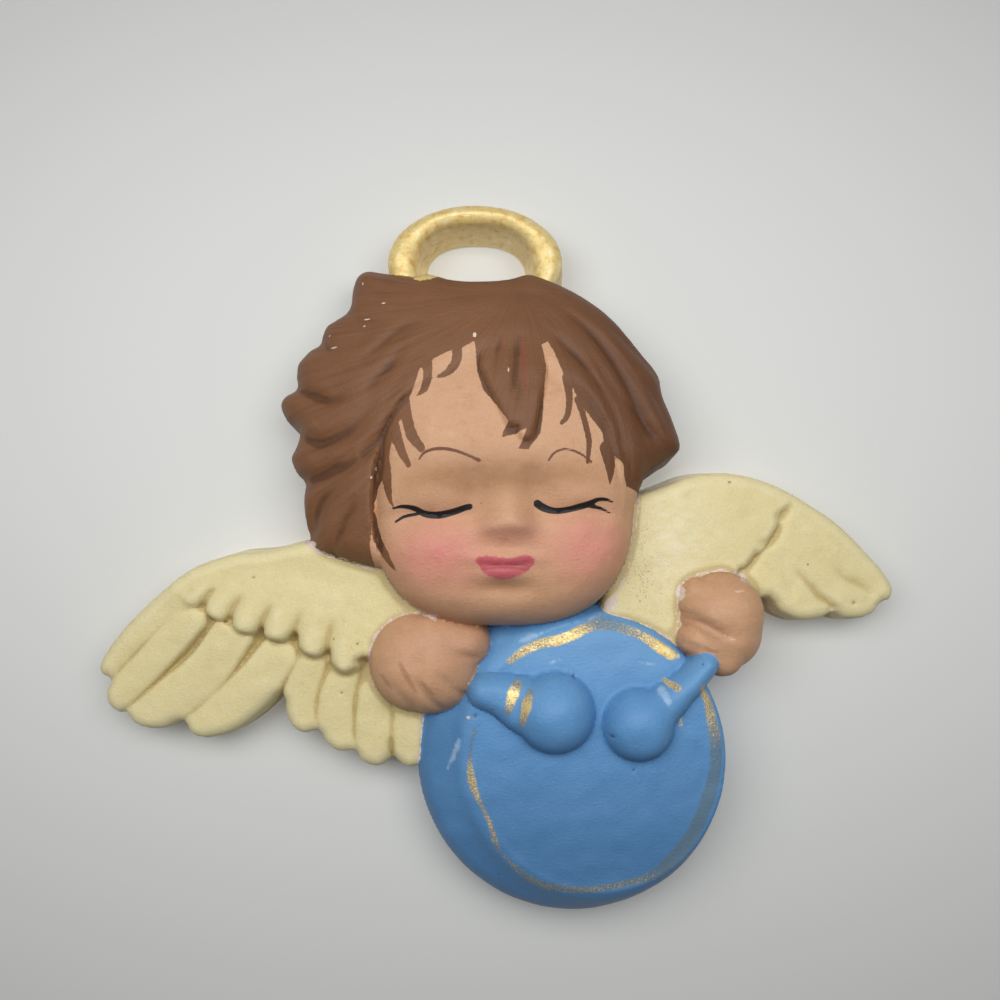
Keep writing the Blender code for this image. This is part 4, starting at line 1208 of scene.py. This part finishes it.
@dataclass(frozen=True)
class NodeBench:
    """Lays nodes in one material's tree and joins them."""

    tree: bpy.types.NodeTree

    def join(self, source: Feed, socket: bpy.types.NodeSocket) -> None:
        """Feeds a socket from another node, or sets it to a number or a colour."""
        if isinstance(source, Wire):
            self.tree.links.new(source.socket, socket)
        else:
            socket.default_value = (*source, 1.0) if isinstance(source, tuple) else source

    def node(self, kind: str, output: str | int, feeds: dict[str | int, Feed], **settings: str) -> Wire:
        """Lays one node.

        Args:
            kind: The node's type, without the prefix that all of them have.
            output: Which of its outputs is taken.
            feeds: What goes into its inputs.
            **settings: Its options.

        Returns:
            The output.
        """
        node = self.tree.nodes.new("ShaderNode" + kind)
        for name, value in settings.items():
            setattr(node, name, value)
        for name, source in feeds.items():
            self.join(source, node.inputs[name])
        return Wire(self, node.outputs[output])

    def value(self, name: str) -> Wire:
        """One of the piece's paint fields."""
        return self.node("Attribute", "Fac", {}, attribute_name=name)

    def place(self, scale: Triple = (1, 1, 1), turn: float = 0.0) -> Wire:
        """Object coordinates in millimetres, stretched and turned about Y for a brush's direction."""
        mapped = self.node("Mapping", "Vector", {"Vector": self.node("TexCoord", "Object", {})})
        inputs = mapped.socket.node.inputs
        inputs["Scale"].default_value = tuple(part / MM for part in scale)
        inputs["Rotation"].default_value = (0, turn, 0)
        return mapped

    def noise(self, place: Wire, scale: float, detail: float = 3, rough: float = 0.55) -> Wire:
        """Cloudy noise from 0 to 1, with the given number of clouds to a millimetre."""
        feeds = {"Vector": place, "Scale": scale, "Detail": detail, "Roughness": rough}
        return self.node("TexNoise", "Fac", feeds)

    def cells(self, place: Wire, scale: float) -> tuple[Wire, Wire]:
        """Distance to scattered points, and a random value for each."""
        distance = self.node("TexVoronoi", "Distance", {"Vector": place, "Scale": scale})
        return distance, Wire(self, distance.socket.node.outputs["Color"])

    def math(self, kind: str, first: Feed, second: Feed = 0.0) -> Wire:
        """One sum, product or other step."""
        return self.node("Math", 0, {0: first, 1: second}, operation=kind)

    def blend(self, share: Feed, first: Feed, second: Feed) -> Wire:
        """One number laid over another by a share."""
        return self.node("Mix", "Result", {"Factor": share, "A": first, "B": second}, data_type="FLOAT")

    def mix(self, share: Feed, first: Feed, second: Feed) -> Wire:
        """One colour laid over another by a share."""
        return self.node("Mix", "Result", {"Factor": share, "A": first, "B": second}, data_type="RGBA")

    def glazed(self, base: Feed, *glazes: tuple[Feed, Feed]) -> Feed:
        """A colour under thin glazes, each given as its share and its colour, the lowest first."""
        for share, colour in glazes:
            base = self.mix(share, base, colour)
        return base


@dataclass
class Coats:
    """The coats of paint as they are laid, with the noises that all of them share."""

    bench: NodeBench
    colour: Feed = (0.0, 0.0, 0.0)
    roughness: Feed = 0.8
    metal: Feed = 0.0

    def __post_init__(self) -> None:
        """Makes the shared noises, and finds the spots that every brush missed."""
        bench = self.bench
        self.place = bench.place()
        self.grain = bench.noise(self.place, 2.4, 4, 0.6)
        self.cloud = bench.noise(self.place, 0.12, 4, 0.6)
        self.mottled = bench.noise(self.place, 0.55, 3, 0.6)
        self.ragged = bench.noise(self.place, 1.1, 4, 0.7) - 0.5
        self.brushed = bench.noise(bench.place((0.45, 0.45, 1.5), 0.35), 1.0)
        self.crossed = bench.noise(bench.place((0.5, 0.5, 0.9), -0.4), 1.0, 3, 0.5)
        self.strokes = bench.noise(bench.place((0.9, 0.9, 3.4), 0.55), 1.0, 4, 0.6)
        self.even = bench.blend(0.5, self.cloud, self.mottled)
        self.hollow = bench.value("hollow")
        # Where the coats below are darkened in hollows: painted shade, partly paint pooling there too.
        self.shade_and_pooling = self.hollow.ramp(0.02, 0.45)
        spots, seams = self.near("bare", 0.8, 0.42, 0.6), self.near("bare_line", 1.5, 0.0, 0.25)
        self.met = 1.0 - bench.math("MAXIMUM", spots, seams)

    def near(self, name: str, wobble: float, low: float, high: float) -> Wire:
        """Where a paint field rises from low to high, with a brush's ragged edge."""
        return (self.bench.value(name) + self.ragged * wobble).ramp(low, high)

    def cover(self, coat: Coat, reach: float = 0.0, wobble: float = 0.7) -> Wire:
        """Where a coat lies, by how far it reaches past its form and how ragged its edge is."""
        return self.near(coat.value, wobble, -0.06 - reach, 0.1 - reach)

    def lay(
        self, share: Feed, colour: Feed, roughness: float | None = None, metal: float | None = None
    ) -> None:
        """Brushes one more coat over what is there.

        Args:
            share: Where it lies.
            colour: Its colour.
            roughness: Its roughness, or None to leave what is there.
            metal: How metallic it is, or None to leave what is there.
        """
        self.colour = self.bench.mix(share, self.colour, colour)
        if roughness is not None:
            self.roughness = self.bench.blend(share, self.roughness, roughness)
        if metal is not None:
            self.metal = self.bench.blend(share, self.metal, metal)


@dataclass(frozen=True)
class PaintTones:
    """A paint as it dried: its middle, light and dark tones, and its roughness."""

    middle: Colour
    light: Colour
    dark: Colour
    roughness: float

    def by(self, noise: Wire) -> Wire:
        """The paint's tones, from dark through middle to light, by a noise."""
        lower = noise.bench.mix(noise.ramp(0.25, 0.5), self.dark, self.middle)
        return noise.bench.mix(noise.ramp(0.5, 0.78), lower, self.light)


@dataclass(frozen=True)
class PaintedPlaster:
    """Matt acrylic brushed by hand on cast plaster, with gold paint, pinholes and missed spots."""

    plaster: PaintTones = PaintTones(tint(226, 208, 196), tint(238, 226, 216), tint(196, 172, 156), 0.8)
    wing: PaintTones = PaintTones(tint(232, 217, 162), tint(240, 229, 184), tint(219, 202, 146), 0.55)
    skin: PaintTones = PaintTones(tint(206, 160, 124), tint(220, 178, 142), tint(190, 142, 106), 0.5)
    hair: PaintTones = PaintTones(tint(126, 85, 56), tint(137, 96, 67), tint(108, 69, 43), 0.55)
    blue: PaintTones = PaintTones(tint(98, 153, 205), tint(104, 159, 211), tint(91, 146, 198), 0.45)
    gold: PaintTones = PaintTones(tint(244, 217, 146), tint(255, 244, 200), tint(216, 174, 100), 0.4)

    def paint_wings(self, coats: Coats) -> None:
        """Lays the cream coat, darkened in hollows by painted shade with some pooling paint, and lighter on
        ridges.
        """
        bench = coats.bench
        specks = bench.noise(coats.place, 2.4, 2, 0.6) + bench.value("grime") * 0.1
        cream = bench.glazed(
            self.wing.by(bench.blend(0.2, coats.even, coats.brushed)),
            (bench.value("wing_pale") * coats.crossed.ramp(0.25, 0.7, 0.1, 0.75), tint(243, 235, 203)),
            # Painted shade in the feather grooves and other hollows, partly paint pooling there.
            (coats.shade_and_pooling * 0.7, tint(190, 168, 114)),
            (coats.hollow.ramp(-0.04, -0.35) * 0.4, self.wing.light),
            (specks.ramp(0.7, 0.8, 0.0, 0.45), tint(140, 118, 72)),
        )
        coats.lay(coats.cover(Coat.WING, -0.2, 0.9) * coats.met, cream, self.wing.roughness)

    def lips(self, coats: Coats) -> Feed:
        """The two pinks of the lips with their dark parting."""
        height = coats.bench.value("upper_lip")
        return coats.bench.glazed(
            tint(202, 96, 106),
            (height.ramp(-0.5, 0.4), tint(188, 78, 92)),
            (coats.strokes.ramp(0.52, 0.72, 0.0, 0.5), tint(226, 134, 140)),
            (coats.bench.math("ABSOLUTE", height + 0.1).ramp(0.05, 0.4, 0.6, 0.0), tint(150, 58, 72)),
        )

    def paint_skin(self, coats: Coats) -> None:
        """Lays the skin of the face and fists, with blush, shades, glints and the lips."""
        bench = coats.bench
        dabbed = bench.blend(0.5, coats.brushed, coats.strokes)
        rouge = bench.value("blush") * dabbed.ramp(0.3, 0.7, 0.45, 1.15)
        skin = bench.glazed(
            self.skin.by(bench.blend(0.25, coats.even, coats.brushed)),
            (coats.strokes.ramp(0.5, 0.8, 0.0, 0.35), self.skin.light),
            (bench.value("lid_shade") * coats.crossed.ramp(0.2, 0.7, 0.8, 1.0) * 0.95, tint(164, 120, 82)),
            (rouge * 0.85, tint(220, 130, 124)),
            (bench.value("nose_shade") * 0.7, tint(176, 116, 102)),
            (coats.near("skin_shadow", 0.5, -0.35, 0.3) * 0.5, tint(150, 100, 72)),
            (coats.near("skin_glint", 0.6, -0.05, 0.2) * 0.7, tint(244, 202, 168)),
            (coats.near("lips", 1.0, -0.2, 0.3) * 0.92, self.lips(coats)),
            # Painted shade in the hollows of the face and fists, partly paint pooling there.
            (coats.shade_and_pooling * 0.35, self.skin.dark),
        )
        coats.lay(coats.cover(Coat.SKIN, 0.1) * coats.met, skin, self.skin.roughness)

    def paint_hair(self, coats: Coats) -> Wire:
        """Lays the brown of the hair, and gives its combed streaks for the surface."""
        bench = coats.bench
        feeds = {0: bench.value("comb") * 34.0, 1: bench.value("comb_reach") * 0.06, 2: 0.0}
        streaks = bench.noise(bench.node("CombineXYZ", "Vector", feeds), 1.0, 4, 0.6)
        brown = bench.glazed(
            self.hair.by(bench.blend(0.3, streaks, coats.cloud)),
            # Painted shade: the hair darker towards its right and lower side.
            (bench.value("right_side_shade") * 0.75, tint(98, 62, 38)),
            (coats.near("reddish", 1.2, -0.3, 0.6) * 0.5, tint(130, 72, 52)),
            # Painted shade darkening the valleys between the locks.
            (coats.hollow.ramp(0.01, 0.3, 0.0, 0.75), tint(82, 52, 34)),
        )
        share = coats.cover(Coat.HAIR, 0.0, 0.5) * coats.met
        coats.lay(share, brown, self.hair.roughness)
        return share * streaks

    def paint_drum(self, coats: Coats) -> None:
        """Lays the blue of the drum, with painted shade below and to the left and painted light on its
        upper part.
        """
        bench = coats.bench
        blue = bench.glazed(
            self.blue.by(coats.cloud),
            # Painted shade below and to the left, painted light on the upper part.
            (bench.value("drum_low_shade") * 0.5, tint(58, 98, 142)),
            (bench.value("drum_top_light") * 0.35, tint(126, 178, 222)),
            # Pale streaks, partly painted highlights on the drum's rim.
            (coats.near("pale_streak_and_highlight", 1.4, -0.1, 0.5) * 0.6, tint(178, 208, 236)),
            # Painted shade in the drum's hollows, partly paint pooling there.
            (coats.shade_and_pooling * 0.5, self.blue.dark),
        )
        coats.lay(coats.cover(Coat.DRUM, 0.1) * coats.met, blue, self.blue.roughness)

    def gild(self, coats: Coats) -> None:
        """Lays the gold of the halo, and the worn gold lines over a thin film."""
        bench = coats.bench
        gilt = self.gold.by(bench.noise(coats.place, 0.6, 4, 0.62))
        dab = coats.near("gold_dab", 1.6, -0.1, 0.2)
        halo = bench.math("MAXIMUM", coats.cover(Coat.HALO, 0.05, 1.3), dab)
        coats.lay(halo, gilt, self.gold.roughness, 0.2)
        thick = bench.value("gold_thickness")
        drawn = coats.near("gold_line", 0.7, -0.15, 0.3)
        film = bench.mix(thick.ramp(0.3, 0.7), tint(104, 118, 116), tint(168, 142, 70))
        coats.lay(drawn * 0.62, film)
        flecks = bench.noise(coats.place, 3.2, 5, 0.75) + thick * 0.42
        coats.lay(drawn * flecks.ramp(0.7, 0.86), gilt, self.gold.roughness, 0.45)

    def pinholes(self, coats: Coats) -> Wire:
        """Scattered pinholes of random size, and those that have a place of their own."""
        bench = coats.bench
        distance, chance = bench.cells(coats.place, 0.33)
        reach = bench.math("POWER", chance, 9.0) * 0.15
        scattered = (distance - reach).ramp(-0.02, 0.05, 1.0, 0.0) * reach.ramp(0.03, 0.06)
        return bench.math("MAXIMUM", scattered, bench.value("pits").ramp(0.35, 0.8))

    def age(self, coats: Coats, pits: Wire) -> None:
        """Darkens pinholes and grain, paints shade with some dirt on the undersides, and leaves the back as
        plain plaster.
        """
        bench = coats.bench
        coats.lay(pits * 0.55, tint(70, 60, 50))
        specks = bench.noise(coats.place, 3.0, 3, 0.7).ramp(0.3, 0.65, 0.09, 0.0)
        # Darker grain specks, and painted shade with some dirt on the undersides that turn down.
        coats.lay(bench.math("MAXIMUM", specks, bench.value("underside") * 0.24), tint(74, 54, 36))
        rear = bench.glazed(
            tint(218, 209, 196),
            (coats.even.ramp(0.3, 0.7), tint(233, 226, 215)),
            (pits * 0.4, tint(150, 138, 122)),
        )
        coats.lay(bench.value("behind"), rear, self.plaster.roughness, 0.0)

    def make(self) -> bpy.types.Material:
        """Builds the material.

        Returns:
            The material, with its coats laid in the painter's order.
        """
        material = bpy.data.materials.new("painted_plaster")
        material.use_nodes = True
        bench = NodeBench(material.node_tree)
        coats = Coats(bench, roughness=self.plaster.roughness)
        coats.colour = self.plaster.by(coats.cloud)
        self.paint_wings(coats)
        self.paint_skin(coats)
        strands = self.paint_hair(coats)
        self.paint_drum(coats)
        self.gild(coats)
        coats.lay(coats.near("brow", 0.2, -0.08, 0.08), tint(112, 64, 42))
        coats.lay(coats.near("lash", 0.1, -0.08, 0.08), tint(30, 26, 28))
        pits = self.pinholes(coats)
        self.age(coats, pits)
        pimples = bench.cells(coats.place, 0.8)[0].ramp(0.1, 0.3, 0.4, 0.0)
        brushed = coats.brushed * 0.3 + coats.grain * 0.9 + coats.mottled * 0.25 + coats.strokes * 0.9
        surface = brushed + strands * 1.2 + pimples - pits * 1.2
        feeds = {"Strength": 0.6, "Distance": 0.12 * MM, "Height": surface}
        inputs = material.node_tree.nodes["Principled BSDF"].inputs
        bench.join(coats.colour, inputs["Base Color"])
        bench.join(coats.roughness, inputs["Roughness"])
        bench.join(coats.metal, inputs["Metallic"])
        bench.join(0.35, inputs["Specular IOR Level"])
        bench.join(bench.node("Bump", "Normal", feeds), inputs["Normal"])
        return material


@dataclass
class Studio:
    """The pale wall that the plaque hangs on, the soft lights and the camera."""

    wall_half: float = 1.2
    wall_gap: float = 0.0004
    distance: float = 0.150
    tilt: float = 3.5858
    lens: float = 27.053

    def wall(self) -> None:
        """Hangs a plain pale sheet behind the plaque, seen from its front only."""
        sheet = bmesh.new()
        bmesh.ops.create_grid(sheet, x_segments=1, y_segments=1, size=self.wall_half)
        for vertex in sheet.verts:
            vertex.co = (vertex.co.x, self.wall_gap, vertex.co.y)
        bmesh.ops.recalc_face_normals(sheet, faces=sheet.faces[:])
        if sheet.faces[:][0].normal.y > 0:
            bmesh.ops.reverse_faces(sheet, faces=sheet.faces[:])
        mesh = bpy.data.meshes.new("studio_wall")
        sheet.to_mesh(mesh)
        sheet.free()
        wall = in_scene("studio_wall", mesh)
        wall.visible_shadow = False
        paper = bpy.data.materials.new("studio_paper")
        paper.use_nodes = True
        nodes, links = paper.node_tree.nodes, paper.node_tree.links
        shader = nodes["Principled BSDF"]
        shader.inputs["Base Color"].default_value = (*tint(226, 227, 224), 1.0)
        shader.inputs["Roughness"].default_value = 0.85
        clear = nodes.new("ShaderNodeBsdfTransparent")
        side = nodes.new("ShaderNodeNewGeometry")
        pick = nodes.new("ShaderNodeMixShader")
        links.new(side.outputs["Backfacing"], pick.inputs["Fac"])
        links.new(shader.outputs["BSDF"], pick.inputs[1])
        links.new(clear.outputs["BSDF"], pick.inputs[2])
        links.new(pick.outputs["Shader"], nodes["Material Output"].inputs["Surface"])
        mesh.materials.append(paper)

    def light(self, name: str, place: Triple, power: float, wide: float, high: float) -> None:
        """Hangs one soft light that looks at the plaque.

        Args:
            name: The light's name.
            place: Where it hangs, in metres.
            power: Its power in watts.
            wide: Its width in metres.
            high: Its height in metres.
        """
        data = bpy.data.lights.new(name, "AREA")
        data.shape = "RECTANGLE"
        data.energy, data.size, data.size_y = power, wide, high
        lamp = in_scene(name, data)
        lamp.location = place
        lamp.rotation_euler = (-Vector(place)).to_track_quat("-Z", "Y").to_euler()

    def camera(self) -> None:
        """Sets the camera where the picture was taken from."""
        data = bpy.data.cameras.new("camera")
        data.lens, data.sensor_width, data.clip_start = self.lens, 36.0, 0.01
        viewer = in_scene("camera", data)
        viewer.location = (0.0, -self.distance, 0.0)
        viewer.rotation_euler = (math.radians(90 + self.tilt), 0.0, 0.0)
        bpy.context.scene.camera = viewer

    def set_up(self) -> None:
        """Puts up the wall, the lights, the surroundings and the camera."""
        self.wall()
        self.light("window_light", (-0.005, -0.195, 0.05), 0.48, 0.34, 0.13)
        self.light("room_light", (-0.4, -0.8, 0.5), 0.4, 1.0, 1.0)
        self.light("rear_light", (0.0, 0.9, 0.12), 5.0, 0.8, 0.8)
        world = bpy.data.worlds.new("studio_air")
        world.use_nodes = True
        world.node_tree.nodes["Background"].inputs["Color"].default_value = (0.86, 0.88, 0.9, 1.0)
        world.node_tree.nodes["Background"].inputs["Strength"].default_value = 0.1
        bpy.context.scene.world = world
        bpy.context.scene.view_settings.view_transform = "Standard"
        self.camera()


def main() -> None:
    """Builds the casting and the studio."""
    logging.basicConfig(level=logging.INFO, format="%(name)s: %(message)s")
    casting = Casting().build()
    casting.data.materials.append(PaintedPlaster().make())
    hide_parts("cherub_plaque")
    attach(casting, "root")
    triangles = sum(len(polygon.vertices) - 2 for polygon in casting.data.polygons)
    log.info("painted casting: %d triangles", triangles)
    Studio().set_up()
    log.info("studio: wall, three lights and the camera")


if __name__ == "__main__":
    main()
